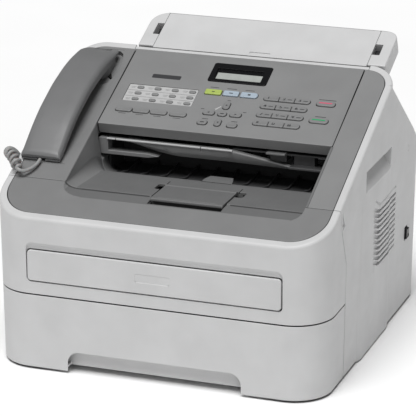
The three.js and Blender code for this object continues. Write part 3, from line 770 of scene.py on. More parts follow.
def louvre(z):
    """One slot of the grille: level, with a thicker front end that turns up."""
    (y0, y1), height = LOUVRES["y"], LOUVRES["height"]
    outline = [
        (y0 + 19, z - 0.3), (y1, z - 0.3), (y1, z + height), (y0 + 24, z + height), (y0 + 17, z + height + 1.8),
        (y0 + 8, z + height + 5.2), (y0 - 0.5, z + height + 8.2), (y0 - 0.5, z + 6.6), (y0 + 8, z + 3.4),
        (y0 + 14, z + 1.2),
    ]
    return prism(outline, (HALF_WIDTH - 2.7, HALF_WIDTH + 5), sideways)


def side_cover(side):
    low, high = sorted((side * (REAR_SEAMS[1] + GAP if side > 0 else -REAR_SEAMS[0] + GAP), side * 250))
    pocket = sorted((side * (HALF_WIDTH - GRIP_DEPTH - 2), side * (HALF_WIDTH - 1)))
    shell = cross(copy_of(casing), behind_seam(), block((low, high), ACROSS, (-10, FAR)))
    shell = cut(shell, rim_opening(0))
    notch_x = sorted((side * (HALF_WIDTH - 2.2), side * (HALF_WIDTH + 5)))
    notch = prism([(-116, 191), (-106, 173), (-115, 169)], notch_x, sideways)
    walls = block(pocket, grow(GRIP_Y, 2), grow(GRIP_Z, 2))
    return cut(join(shell, walls), grip_pocket(side), notch)


def add_right_cover():
    shell = side_cover(1)
    (sy, sz) = box_mm("power_switch")[1:]
    slots = [louvre(LOUVRES["lowest"] + i * LOUVRES["pitch"]) for i in range(LOUVRES["count"])]
    top = LOUVRES["lowest"] + LOUVRES["count"] * LOUVRES["pitch"] - 2.2
    (y0, y1) = LOUVRES["y"]
    lip = stack([
        [(x, y, z) for y, z in ((y0 + 3, top + 9.5 + low), (y0 + 22, top + low), (y1, top + low),
                                (y1, top + 5.8), (y0 + 22, top + 5.8), (y0 + 3, top + 15.3))]
        for x, low in ((HALF_WIDTH - 1.8, 4.6), (HALF_WIDTH, 0.6), (HALF_WIDTH + 2, -4))])
    step = block((HALF_WIDTH - 0.8, HALF_WIDTH + 5), (y0 - 0.8, y0 + 0.4), (LOUVRES["lowest"] - 3, top + 6))
    ledge = stack([
        [(x, y, z) for y, z in ((sy[0] - 0.6, low), (sy[1] + 0.6, low), (sy[1] + 0.6, sz[1] + 2),
                                (sy[0] - 0.6, sz[1] + 2))]
        for x, low in ((HALF_WIDTH - 5, sz[0] - 0.6), (HALF_WIDTH - 1.5, sz[0] - 1.5), (HALF_WIDTH + 4, sz[0] - 10))])
    pins = [rod((HALF_WIDTH - 1, HALF_WIDTH + 3), 137, z, 0.9, 16) for z in (183.5, 189.4)]
    show("right_side_cover", cut(shell, *slots, lip, step, ledge, *pins), paint_light, "right_cover", 0.4)


def add_left_cover():
    (jy, jz) = box_mm("handset_jack")[1:]
    window = block((-190, -170), grow(jy, 0.4), grow(jz, 0.4))
    show("left_side_cover", cut(side_cover(-1), window), paint_light, "left_cover", 0.4)


add_right_cover()
add_left_cover()


# ---- rear housing and back cover ----
def add_rear():
    door_x, _, door_z = box_mm("back_cover")
    inlet_x, _, inlet_z = box_mm("power_inlet")
    shell = cross(copy_of(casing), block(REAR_SEAMS, (REAR_SEAM_Y, 250), (-10, FAR)))
    through = (170, 190)
    vents = [block((-100 + 9 * i, -95.5 + 9 * i), through, (22, 44)) for i in range(12)]
    show("rear_shell", cut(
        shell, block(grow(door_x, 0.6), through, (door_z[0] - 1, door_z[1] + 0.6)),
        block(grow(inlet_x, GAP), through, grow(inlet_z, GAP)), *vents,
    ), paint_light, "rear_housing", 0.4)
    grip = prism(rounded((-6, 36), (150, 163), 4), (BACK - 1.4, BACK + 3), facing)
    ribs = equal_blocks(range(-88, 120, 9), 3.2, (BACK - 0.9, BACK + 3), (72, 140))
    plate = cut(block(door_x, (BACK - WALL, BACK), door_z), grip, *ribs)
    show("back_door", plate, paint_light, "back_cover", body="back_cover")


add_rear()

# ---- front cover, slot cover and paper tray ----
SLOT_X, SLOT_Z = (-139.1, 139.1), (100.4, 134)
NOTCH_X, NOTCH_Z = 96, 25


def add_front_cover():
    shell = cross(copy_of(casing), before_seam(), block(ACROSS, (-250, 0), (COVER_BOTTOM, FAR)))
    throat = [
        block((-143, 143), (FRONT + 2.5, -171), (96, 143.5)),
        block((-122, 122), (-172, -140), (100.5, 103.5)),
        block((-122, 122), (-172, -140), (130.5, 133.5)),
    ]
    pocket = prism(rounded((-140.4, 140.4), (99.0, 134.9), 4.6, 8), (-186, FRONT + 3.5), facing)
    # above the slot cover the face rolls back into a finger groove
    groove = stack([
        [into_front(a, b, depth) for a, b in rounded(
            grow((-140.1, 140.1), out), (126 - out, 138.4 + lift), (3, 6 + out, 6 + out, 3), 8)]
        for depth, out, lift in ((-3, 1.2, 5.2), (0, 0.5, 4.2), (1.2, 0.2, 2.6), (2.4, 0, 0.6), (3.0, 0, -1.4))])
    mouth = block((-118, 118), (-185, -165), (103.5, 130.5))
    show("front_cover_shell", cut(join(shell, *throat), rim_opening(0), pocket, groove, mouth),
         paint_light, "front_cover", 0.4, "front_cover")
    gasket = cut(
        prism(rounded((-140.2, 140.2), (99.2, 134.7), 4.4, 8), (FRONT + 3.1, FRONT + 3.6), facing),
        block((-117.6, 117.6), (-185, -165), (103.8, 130.2)))
    show("slot_gasket", gasket, paint_dark, None, 0, "front_cover")


def add_slot_cover():
    door = tiers(into_front, SLOT_X, SLOT_Z, 4,
                 ((2.6, 0), (1.0, 0), (0.45, -0.16), (0.12, -0.5), (0, -1.1)), 8, 0.4)
    ribs = equal_blocks(range(-110, 120, 22), 1.6, (FRONT + 2.2, FRONT + 3.0), (104, 130))
    plate = tiers(into_front, (-19, 19), (112.6, 121.4), 2, ((-1, 0.5), (0, 0.3), (0.4, 0)), least=0)
    show("slot_door", cut(join(door, *ribs), plate), paint_light, "manual_slot_cover", 0.25, "manual_slot_cover")


def add_paper_tray():
    face = cross(copy_of(casing), before_seam(), block(ACROSS, (-250, 0), (-10, TRAY_TOP)))
    shelf = cross(
        mirror_loft(BODY_FORM, inner_levels(body_height, WALL - 0.4)),
        before_seam(), block(ACROSS, (-250, 0), (38, 41)))
    shelf = cut(shelf, block((-120, 120), (-200, 0), (30, 50)))
    box = cut(
        block((-121, 121), (FRONT + 2.7, 125), (7, 79)),
        block((-118.5, 118.5), (-165.5, 122.5), (9.5, 100)),
        block((-118.5, 118.5), (-200, -168), (9.5, 100)))
    roof = block((-100, 100), (FRONT + 2.7, -167), (NOTCH_Z, NOTCH_Z + 2.5))
    notch = stack([
        [(a, y, b) for a, b in rounded((-NOTCH_X - out, NOTCH_X + out), (-30, NOTCH_Z + out), (0, 13, 13, 0), 10)]
        for y, out in ((-186, 0.9), (FRONT - 0.2, 0.9), (FRONT + 0.5, 0.25), (FRONT + 1.4, 0), (-168, 0))])
    made = cut(join(face, shelf, box, roof), notch)
    ribs = [block((-118.4, 118.4), (y, y + 2), (9.3, 10.6)) for y in range(-10, 120, 26)]
    show("paper_tray_body", join(made, *ribs), paint_light, "paper_tray", 0.4, "paper_tray")


add_front_cover()
add_slot_cover()
add_paper_tray()

# ---- grey top: front panel, output bay, right strip and handset cradle ----
FLAP_X, FLAP_FRONT, FLAP_PIVOT = (-19, 60), -133, -87
BAY_EDGE = -117.8  # where the bay's left wall meets the top
LIP_FRONT, LIP_FALL = -144, 0.14  # the lip's front end and how steeply it falls to it


def top_plate(thick):
    return cross(rim_opening(0.7), slope_block((-200, 200), (-20, 400), (-thick, 0)))


def sweep(reach, drop, rise):
    """How far a round sweep from a wall into a floor stands out at a height."""
    return reach * (1 - math.sqrt(max(0.0, 1 - (1 - min(rise, drop) / drop) ** 2)))


def bay_mouth():
    """The bay's opening through the front panel: its wall sweeps out over the lip as it rises."""
    rings = []
    for rise in (0, 0.4, 1.2, 2.4, 4.2, 6.2, 9.5, 14, 24, 60):
        left = BAY_EDGE + sweep(17, 6.2, rise)
        outline = rounded((left, BAY_RIGHT), (LIP_FRONT - 1, -30), (17, 0, 0, 13), 10)
        rings.append([(x, y, BAY_FLOOR + rise - LIP_FALL * max(0, TOP_SEAM - y)) for x, y in outline])
    return stack(rings)


def add_front_top():
    plate = cross(top_plate(10), block(ACROSS, (-250, TOP_SEAM - SEAM_HALF), (0, FAR)))
    plate = painted(cut(
        plate, bay_mouth(),
        block(grow(FLAP_X, 5.4), (-141.6, -100), (150, BAY_FLOOR - 3.6)),
        block(grow(FLAP_X, 0.9), (-141, -100), (183, 300))), paint_grey, paint_bay_shade)
    # the upward faces that the bay's mouth has cut get the darker bay paint: painted shade down in the bay
    for face in plate.data.polygons:
        x, y, z = face.center / MM
        inside = BAY_EDGE - 1 < x < BAY_RIGHT + 1 and z < slope_height(y) - 0.25 and face.normal.z > 0.9
        face.material_index = int(inside)
    show("front_top", plate, None, "front_top_panel", 0.45, "front_cover", "grey_plastic")


def bay_height(y):
    """The bay's floor, which rolls down at its back end."""
    return BAY_FLOOR - 11.5 * min(1.0, max(0.0, (y + 62) / 24)) ** 2.2


def left_wall_section(y, ceiling=FAR):
    """The bay's left wall and its sweep into the floor, as a ring at a distance from the front."""
    back = smooth_step((y - TOP_SEAM) / 80)
    lean, reach, drop = 5.5 * back, 17 - 6 * back, 6.2 + 11 * back
    top, base = min(ceiling, slope_height(y) - 0.1), bay_height(y)
    line = [(BAY_EDGE - 0.1, base - 2.6), (BAY_EDGE - 0.1, top), (BAY_EDGE + 0.3, top)]
    for angle in (math.radians(90 * i / 12) for i in range(13)):
        line.append((BAY_EDGE + 0.4 + lean + reach * (1 - math.cos(angle)),
                     min(top - 0.05, base + drop) - (drop + 0.4) * math.sin(angle)))
    line.append((BAY_EDGE + 0.4 + lean + reach, base - 2.6))
    return [(x, y, z) for x, z in line]


def add_output_bay():
    rolled = [(y, bay_height(y)) for y in (TOP_SEAM + 1.6, -62, -58, -54, -50, -47, -44, -41.5, -39)]
    floor = prism(rolled + [(y, z - 3) for y, z in reversed(rolled)], (BAY_EDGE + 0.2, BAY_RIGHT + 2.5), sideways)
    front, back = TOP_SEAM + 0.5, -36
    right = prism([
        (front, BAY_FLOOR - 3), (-53, BAY_FLOOR - 3), (-31, 173), (back, 173), (back, slope_height(back)),
        (front, slope_height(front))], (BAY_RIGHT, BAY_RIGHT + 2.5), sideways)
    left = stack([left_wall_section(y) for y in (TOP_SEAM + 1.2, -112, -100, -88, -76, -64, -52, -44, -36.4)])
    strip = cross(top_plate(10), block((147.8, 250), (TOP_SEAM + SEAM_HALF, 250), (0, FAR)))
    strip = cut(strip, block((0, BAY_RIGHT + 2.6), (-200, -35.8), (150, FAR)))
    show("right_strip", strip, paint_panel, None, 0.4)
    tongue_front = block(grow(FLAP_X, 4.8), (-141.2, TOP_SEAM + 1), (174, BAY_FLOOR - 4.2))
    tongue_back = block(grow(FLAP_X, 4.8), (TOP_SEAM, -62), (174, BAY_FLOOR - 0.8))
    step = stack([
        [(x, y, z) for x, z in ((10 + inset, BAY_FLOOR - 3), (44 - inset, BAY_FLOOR - 3),
                                (44 - inset, BAY_FLOOR + lift), (10 + inset, BAY_FLOOR + lift))]
        for y, lift, inset in ((-58, -0.2, 0), (-50, 0.9, 1), (-40, 0.9, 4), (-37, 0.1, 5))])
    pocket = block((FLAP_X[0] - 2.8, FLAP_X[1] + 0.9), (-134.5, FLAP_PIVOT + 4.6), (184.5, 300))
    well = block(grow(FLAP_X, 0.6), (-140.6, -126), (178, 300))
    heel = block((FLAP_X[0] - 1.8, FLAP_X[1] + 0.9), (FLAP_PIVOT - 6, FLAP_PIVOT + 5.4), (182.4, 300))
    slits = equal_blocks((FLAP_X[0] - 2.0, FLAP_X[1]), 0.9, (FLAP_PIVOT, -68), (185, 300))
    ears = [prism(rounded(x, (-98, -80.5), 3.4), (179.5, 300), upright)
            for x in ((FLAP_X[0] - 9.5, FLAP_X[0] + 2), (FLAP_X[1] - 2, FLAP_X[1] + 9.5))]
    made = join(floor, left, right, tongue_front, tongue_back, step)
    # The bay takes the darker bay paint, painted shade; the faces of its left wall that turn to the right keep the
    # plain grey.
    made = painted(cut(made, pocket, well, heel, *ears, *slits), paint_bay_shade, paint_grey)
    for face in made.data.polygons:
        face.material_index = int(face.center.x / MM < BAY_EDGE + 24 and face.normal.x > 0.05)
    show("output_bay", made, None, "output_chute", 0.4, slot="grey_plastic")
    corner = stack([left_wall_section(y, 198.6) for y in (-36.2, -32, -27, -20, -9)])
    show("bay_corner", corner, paint_grey, None, 0)
    # A dark pad at the bottom of the flap's well: painted shade under the flap's front edge.
    show("well_pad", block(grow(FLAP_X, 0.2), (-140.2, -126.4), (178.1, 179)), paint_dark, None, 0)


def add_bay_throat():
    """The moulding behind the bay, where the sheets come up from the engine, in dark paint that stands for the deep
    shade there.
    """
    walls_x = (BAY_LEFT - 2.5, BAY_RIGHT + 2.5)
    chute = prism([(-38.6, 175.4), (-36, 176), (23, 176), (23, 173.6), (-38.6, 173.6)], walls_x, sideways)
    back = block(walls_x, (20, 23), (173.6, 238))
    profile = [(-19, 176), (23, 173.6), (23, slope_height(23) - 16), (-19, slope_height(-19) - 16)]
    sides = [prism(profile, x, sideways) for x in ((BAY_LEFT - 2.5, BAY_LEFT), (BAY_RIGHT, BAY_RIGHT + 2.5))]
    ribs = [prism([(-36, 180), (-20, 176), (19, 176), (19, 181), (-20, 178.5), (-40, 183)], (x, x + 1.5), sideways)
            for x in range(-90, 140, 23)]
    show("bay_throat", join(chute, back, *sides, *ribs), paint_shadow, None, 0.3)


def add_exit_lip():
    """The curved blade that turns originals out under the panel, with its frame and latch."""
    rings = []
    left, right = -108, 104
    for x in (left + (right - left) * i / 40 for i in range(41)):
        fall = max(0.0, (x - 30) / 74) ** 1.1
        top = 217.2 - 14.0 * fall
        deep = (2 + 15.5 * smooth_step((x + 106) / 84)) * (1 - fall) + 4 * fall
        rings.append([(x, y, z) for y, z in (
            (-32.0 + 6 * fall, top), (-32.6 + 6 * fall, top - 1.3), (-31.4 + 6 * fall, top - 0.5 * deep),
            (-27.0 + 4 * fall, top - 0.82 * deep), (-17.0, top - deep), (-15.5, top - deep + 1.2),
            (-24.0 + 5 * fall, top - 0.6 * deep + 1.2), (-26.0 + 5 * fall, top))])
    # The exit_lip is a bar of light paint along the blade's top edge: a painted highlight where the edge catches the
    # light under the panel.
    pieces = (("exit_blade", stack(rings), paint_panel, 0.3),
              ("exit_lip", block((-107, 36), (-33.9, -31.6), (216.1, 217.6)), paint_light, 0.2))
    for name, piece, paint, edge in pieces:
        show(name, cut(piece, *equal_blocks((-97.2, 0), 0.9, (-40, -30), (212, 222))), paint, None, edge)
    sill = prism([(-116.6, 199.0), (-60, 199.0), (-48, 201.4), (-60, 203.4), (-116.6, 203.4)], (-32.4, -20), facing)
    show("exit_frame", join(sill, block((-116.6, -106), (-32.4, -20), (200.5, 217.2))), paint_grey)
    # The latch takes the darker bay paint: painted shade under the panel.
    show("exit_latch", block((74, 95), (-34.6, -14), (217.4, 219.4)), paint_bay_shade, None, 0.4)
    deck = join(
        block((34, 145.6), (-26, -8), (216.0, 218.2)),
        block((98, 145.6), (-30.4, -8), (202.2, 204.6)),
        block((76, 94), (-25, -8), (208, 216.4)),
        block((101, 124), (-21, -8), (204, 217)),
        block((140, 145.6), (-28, -8), (204, 217)))
    show("exit_deck", deck, paint_shadow, None, 0.4)
    ribs = equal_blocks(range(-92, 96, 17), 1.4, (-10, 19), (205.5, 214))
    show("exit_ribs", join(block((-107.5, 145.6), (-9, 19), (212, 213.4)), *ribs), paint_dark, None, 0.3)


def add_flap():
    (y0, y1), thick = (FLAP_FRONT, FLAP_PIVOT + 4), 1.4
    plate = stack([
        [(x, y, z) for x, z in rounded(FLAP_X, (BAY_FLOOR + down, BAY_FLOOR + up), 0.35, 3)]
        for y, up, down in (
            (y0, -0.2, -1.7), (y0 + 0.4, 0.7, -2.2), (y0 + 1.4, 1.3, -2.5), (y0 + 2.6, thick, -2.5),
            (y0 + 4, thick, -thick), (y1 - 0.6, thick, -thick), (y1, 0.9, -0.9))])
    groove = block(grow(FLAP_X, -7), (y0 + 3.2, y0 + 4.0), (BAY_FLOOR + 1.1, BAY_FLOOR + 3))
    hinge = rod(FLAP_X, FLAP_PIVOT, BAY_FLOOR, 2.2)
    # The flap takes the darker bay paint: painted shade, as it lies down in the bay.
    show("flap_plate", cut(join(plate, hinge), groove), paint_bay_shade, "support_flap", 0.2, "support_flap")


DISH = 4.2  # depth of the hollow beside the handset


def add_cradle():
    plate = cross(top_plate(16), block((-250, BAY_EDGE - 0.2), (TOP_SEAM + SEAM_HALF, 250), (0, FAR)))
    floor = -8.6
    well = tiers(on_slope, (-174.5, -143), (92, 280), 14, (
        (floor, -2.6), (floor + 0.8, -1.2), (floor + 2.4, -0.3), (-2.4, 0), (-0.8, 0.35), (0, 1.3), (6, 1.3)), 10, 0)
    dish = stack([
        [on_slope(-145, s, 9), on_slope(-145, s, -DISH * deep - 0.02)]
        + [on_slope(-145 + 25.5 * t, s, -DISH * deep * (1 - t) ** 1.3 - 0.02 + 0.04 * t)
           for t in (0.2, 0.4, 0.6, 0.8, 1)]
        + [on_slope(-119.5, s, 9)]
        for s, deep in ((88, 0.01), (96, 0.3), (106, 0.7), (120, 1), (225, 1), (245, 0.8), (268, 0.4), (284, 0.01))])
    lens = prism([(-138, 226), (-131, 227.5), (-127.4, 236), (-125.6, 247), (-125.4, 258), (-126.6, 269),
                  (-129.4, 278), (-134, 282), (-146, 282), (-146, 226)], (-5.8, 6), on_slope)
    (hx, hs, _) = slope_box("hook_switch")
    slot = slope_block(grow(hx, GAP), grow(hs, GAP), (-30, 0), 1)
    ear = [slope_block((x, x + 2), (248, 266), (floor - 2, 5), 0.9) for x in (-147, -143, -139)]
    show("cradle", cut(plate, well, dish, lens, slot, *ear), paint_grey, "handset_cradle", 0.45)
    hook = tiers(on_slope, hx, hs, 1.5, ((-14, 0), (-7.2, 0), (-6.7, -0.4), (-6.5, -1.2)))
    show("hook", hook, paint_dark, "hook_switch", None, "hook_switch")


def add_seam_lips():
    """Dark inner lips that close the seams of the casing from behind: painted shade, so the seams read as dark lines.
    """
    lip = cross(ring_wall((3.4, 4.8), (81, 90)), block(ACROSS, (-250, SIDE_SEAM - 3), (0, FAR)))
    show("cover_lip", lip, paint_dark, None, 0, "front_cover")
    line = [(SIDE_SEAM, 6), (SIDE_SEAM, 129), (SIDE_SEAM - 19.6, 170), (TOP_SEAM, 194.5), (TOP_SEAM, 260)]
    band = [(y - 4, z) for y, z in line] + [(y + 5, z) for y, z in reversed(line)]
    show("side_lip", cross(ring_wall((3.4, 4.8), (-10, 265)), prism(band, ACROSS, sideways)), paint_dark, None, 0)


add_front_top()
add_output_bay()
add_bay_throat()
add_exit_lip()
add_flap()
add_cradle()
add_seam_lips()

# ---- handset ----
HANDSET_X = (-178, -133)
HANDSET_LINE = [  # distance up the slope, underside, top
    (88, 1.4, 8.5), (91, 1.4, 11), (99, 2, 13.4), (113, 5.5, 17), (131, 9, 21.2), (150, 11.8, 24),
    (170, 12.4, 25.4), (189, 12.6, 26), (205, 11, 25.4), (222, 9, 23.8), (238, 5.5, 21.3),
    (251, 3, 17.2), (263, 1.5, 12.2), (273, 1.4, 7.0), (280.5, 1.4, 3.2),
]
END_CORNER = 12  # plan radius of the ear end's outer corner
HANDSET_MIDDLE, HOLE_PITCH, HOLE_RADIUS = -155.5, 3.0, 0.6


def handset_section(s, low, high):
    """A section with a crowned top, broad upper shoulders and a small lower radius."""
    tall = high - low
    shoulder, under, crown = min(8.5, 0.48 * tall), min(2.4, 0.3 * tall), min(2.6, 0.1 * tall)
    (x0, x1) = (edge + side * END_CORNER * (1 - math.sqrt(1 - min(1, max(0, late)) ** 2))
                for edge, side, late in ((HANDSET_X[0], 1, (s - 267) / 14), (HANDSET_X[1], -0.45, (s - 273) / 8)))
    points = arc(x1 - under, low + under, under, -90, 0, 4)
    points += arc(x1 - shoulder, high - crown - shoulder, shoulder, 0, 78, 9)
    width = (x1 - x0) / 2 - shoulder
    middle = (x0 + x1) / 2
    for i in range(1, 12):
        x = x1 - shoulder - (x1 - x0 - 2 * shoulder) * i / 12
        points.append((x, high - crown * ((x - middle) / (width + shoulder)) ** 2))
    points += arc(x0 + shoulder, high - crown - shoulder, shoulder, 102, 180, 9)
    points += arc(x0 + under, low + under, under, 180, 270, 4)
    return [on_slope(x, s, h) for x, h in points]


def add_handset():
    shell = join(
        stack([handset_section(*p) for p in curve_through(HANDSET_LINE, 5)]),
        slope_block((-171, -140), (98, 132), (-8, 9.8), 12, 10),
        slope_block((-171, -134.4), (234, 276), (-5.2, 5.7), (14, 12, 12, 12), 10))
    seam = [
        block((-182, -129), (FRONT + 60, -99.9), (208.3, 209.5)),
        slope_block((-159.5, -150.5), (84, 91.5), (-2, 4.2)),
    ]
    holes = []
    for centre, count, deep in ((115, 3, -4.5), (258, 4, -3.5)):
        for i in range(-count, count + 1):
            for k in range(-2, 3):
                s, x = centre + HOLE_PITCH * k, HANDSET_MIDDLE + HOLE_PITCH * i
                if abs(i) + abs(k) < 5:
                    holes.append(prism(arc(x, s, HOLE_RADIUS, 0, 315, 7), (-12, deep), on_slope))
    show("handset_body", cut(shell, *seam, *holes), paint_handset, "handset_shell", 0.35, "handset")


add_handset()

# ---- control panel ----
panel_x, panel_s, _ = slope_box("panel_shell")
DIAL_ROWS = [["1", "2", "3"], ["4", "5", "6"], ["7", "8", "9"], ["star", "0", "hash"]]
SINGLE_KEYS = {  # corner radius, material, and the printed mark: its offset and size, and its ink
    "stop_key": (3.8, paint_key, (-0.4, 1.3, 14.5, 2.6), paint_red),
    "start_key": (3.9, paint_key, (-0.4, 1.3, 14.5, 2.6), paint_start),
    "fax_key": (1.5, paint_green, (0, 0, 3.4, 1.2), paint_ink),
    "scan_key": (1.5, paint_blue, (0, 0, 4.4, 1.3), paint_ink),
    "copy_key": ((3.6, 3.6, 1, 1), paint_blue, (0, 0, 3.0, 2.2), paint_ink),
    "ok_key": (3.4, paint_key, (0, 0, 4.2, 1.4), paint_ink),
    "menu_key": (3.5, paint_key, (0, 0, 4.4, 1.3), paint_ink),
    "clear_key": (3.5, paint_key, None, None),
}
ARROWS = [((11.9, 18.9), (200.6, 212.6)), ((10.9, 17.9), (172.1, 183.1)),
          ((-7.1, 5.9), (189.1, 196.1)), ((23.1, 36.1), (189.4, 196.4))]
ARROW_TURNS = (90, 270, 180, 0)
FUNCTION_X = (-95.6, -75.7, -55.4, -33.2)
FUNCTIONS = [((x - 9.4, x + 9.4), (181.4, 188.4)) for x in FUNCTION_X]
ONE_TOUCH = [(x, s) for s in (224, 214.1, 204.1) for x in (-89.3, -69.4, -49.5, -29.4)]
LABEL_X, LABEL_S = (-103.6, -23.4), (200.4, 229)
WELL = ((-20, 0), (-0.9, 0), (-0.25, 0.12), (0, 0.45), (3, 0.45))  # a key's opening, its upper edge broken
LEGENDS = [  # middle across and up the slope, width, height
    (-7.4, 235.3, 9.6, 0.8), (12.6, 235.3, 11, 0.8), (33.0, 235.3, 10.5, 0.8), (121.6, 231.6, 19, 0.9),
    (121.6, 203.4, 12, 0.9), (-1.6, 182.6, 7, 0.8), (31.6, 182.2, 7, 0.8), (15.4, 215.6, 4, 0.8),
    (-9.4, 198.4, 4, 0.8), (38.2, 198.6, 4, 0.8), *((x, 178.6, 8.6, 0.7) for x in FUNCTION_X),
]


def before_rim(depth=0.0):
    return block(ACROSS, (-250, RIM_BACK - GAP - depth), (0, FAR))


def key_well(x, s, radii):
    return tiers(on_slope, grow(x, GAP), grow(s, GAP), radii, WELL, least=0)


def add_panel():
    plate = stack([
        [on_slope(x, s, h) for x, s in rounded(
            grow(panel_x, -inset), (panel_s[0] + inset, 300), max(0.3, 1.5 - inset), 5)]
        for h, inset in ((-13.2, 0.4), (-12.8, 0), (-0.8, 0), (-0.3, 0.16), (-0.08, 0.42), (0, 0.9))])
    tools = [cross(slope_block(grow(panel_x, -2.5), (panel_s[0] + 2.5, 300), (-17, -3)), before_rim(2.5))]
    for row in DIAL_ROWS:
        first, last = (slope_box(f"dial_key_{name}") for name in (row[0], row[2]))
        tools.append(key_well((first[0][0], last[0][1]), first[1], 3.9))
    for name, (radius, *_) in SINGLE_KEYS.items():
        tools.append(key_well(*slope_box(name)[:2], radius))
    tools += [key_well(x, s, 3.2) for x, s in ARROWS + FUNCTIONS]
    tools.append(tiers(on_slope, LABEL_X, LABEL_S, 1, [(h, by * 0.5) for h, by in WELL]))
    display_x, display_s, _ = slope_box("display_window")
    tools.append(slope_block(grow(display_x, GAP), grow(display_s, GAP), (-1.8, 5), 3.2))
    made = cut(cross(plate, before_rim()), *tools)
    show("panel_cover", made, paint_panel, "panel_shell", 0, "control_panel")
    # A dark board under the keys: painted shade, so the gaps round the keys read black.
    board = cross(slope_block(grow(panel_x, -3), (panel_s[0] + 3, 300), (-8.4, -7.2), 1), before_rim(3))
    show("key_board", board, paint_shadow, None, 0, "control_panel")


def bar(x, s, width, height=0.8):
    return rounded((x - width / 2, x + width / 2), (s - height / 2, s + height / 2), 0.3, 2)


def key_cap(x, s, radii, low=-3.4, high=1.4, dish=0.25, paint=paint_key):
    """A key cap: straight skirt, rounded shoulder, slightly dished top."""
    levels = ((low, 0), (high - 0.9, 0), (high - 0.45, -0.12), (high - 0.14, -0.42), (high, -0.95),
              (high - 0.05, -1.5), (high - dish, -2.4))
    return smooth(painted(tiers(on_slope, x, s, radii, levels, least=0.25), paint))


def glyph(text, x, s, h, size):
    """A numeral as a thin raised print on the sloping top."""
    curve = bpy.data.curves.new("glyph", "FONT")
    curve.body, curve.size, curve.extrude = text, size * MM, 0.05 * MM
    curve.align_x, curve.align_y = "CENTER", "CENTER"
    curve.offset = 0.16 * MM
    letter = link(bpy.data.objects.new("glyph", curve))
    bpy.context.view_layer.update()
    mesh = bpy.data.meshes.new_from_object(letter.evaluated_get(bpy.context.evaluated_depsgraph_get()))
    bpy.data.objects.remove(letter)
    mesh.transform(Matrix.Translation(Vector(on_slope(x, s, h)) * MM) @ Matrix.Rotation(SLOPE, 4, "X"))
    return painted(link(bpy.data.objects.new("glyph", mesh)), paint_ink)


def mark_piece(outline, h, paint):
    return painted(prism(outline, (h, h + 0.05), on_slope), paint)


def add_dial_keys():
    square, round_end = 0.5, 3.6
    corners = [(square, square, round_end, round_end), (square,) * 4, (round_end, round_end, square, square)]
    for row in DIAL_ROWS:
        for name, radii in zip(row, corners):
            node = f"dial_key_{name}"
            (x, s, h) = slope_box(node)
            cx, cs = (x[0] + x[1]) / 2, (s[0] + s[1]) / 2
            sign = {"star": "*", "hash": "#"}.get(name, name)
            marks = [glyph(sign, cx - 3.0, cs + (-0.9 if name == "star" else 0), h[1] - 0.21, 6.6)]
            if name not in ("1", "star", "0", "hash"):
                marks.append(mark_piece(bar(cx + 3.4, cs - 0.1, 5.0, 0.9), h[1] - 0.24, paint_ink))
            key = merge(key_cap(x, s, radii, *h), *marks)
            show(f"{node}_cap", key, None, node, None, node, "key_plastic")


def add_single_keys():
    for name, (radius, paint, mark, ink) in SINGLE_KEYS.items():
        (x, s, h) = slope_box(name)
        pieces = [key_cap(x, s, radius, *h, paint=paint)]
        if mark:
            dx, ds, width, height = mark
            outline = bar((x[0] + x[1]) / 2 + dx, (s[0] + s[1]) / 2 + ds, width, height)
            pieces.append(mark_piece(outline, h[1] - 0.26, ink))
        show(f"{name}_cap", merge(*pieces), None, name, None, name, SLOTS[paint])


def triangle(x, s, size, turn):
    angles = [math.radians(turn + a) for a in (0, 125, 235)]
    return [(x + size * math.cos(a), s + size * math.sin(a)) for a in angles]


def add_grouped_keys():
    """The arrow and function keys, each group on its own rubber membrane."""
    arrows = [mark_piece(triangle(sum(x) / 2, sum(s) / 2, 1.5, turn), 1.16, paint_ink)
              for (x, s), turn in zip(ARROWS, ARROW_TURNS)]
    for name, keys, radius, membrane, marks in (
            ("arrow", ARROWS, 3.3, ((3.2, 25), (178, 206)), arrows),
            ("function", FUNCTIONS, 2.9, ((-100, -30), (183, 187)), [])):
        pieces = [key_cap(x, s, radius) for x, s in keys]
        pieces.append(painted(slope_block(*membrane, (-5.2, -3.3)), paint_key))
        node = f"{name}_keys"
        show(f"{name}_pad", merge(*pieces, *marks), None, node, None, node, "key_plastic")


def add_one_touch():
    """The one-touch keys through their printed sheet."""
    sheet = slope_block(grow(LABEL_X, -GAP), grow(LABEL_S, -GAP), (-3, -0.6), 1, 4)
    pieces = [painted(sheet, paint_label)]
    for x, s in ONE_TOUCH:
        pieces.append(key_cap((x - 4, x + 4), (s - 2.1, s + 2.1), 2.05, -1.5, 0.9, 0.1))
        for k in (0, 1):
            pieces.append(mark_piece(bar(x - 8.6, s + 0.9 - 1.7 * k, 6.0 - 1.5 * k, 0.45), -0.6, paint_grey))
    for s in (219.0, 209.1):
        pieces.append(mark_piece(bar(-63.5, s, 78, 0.22), -0.6, paint_grey))
    show("one_touch_pad", merge(*pieces), None, "one_touch_keys", None, "one_touch_keys", "key_plastic")


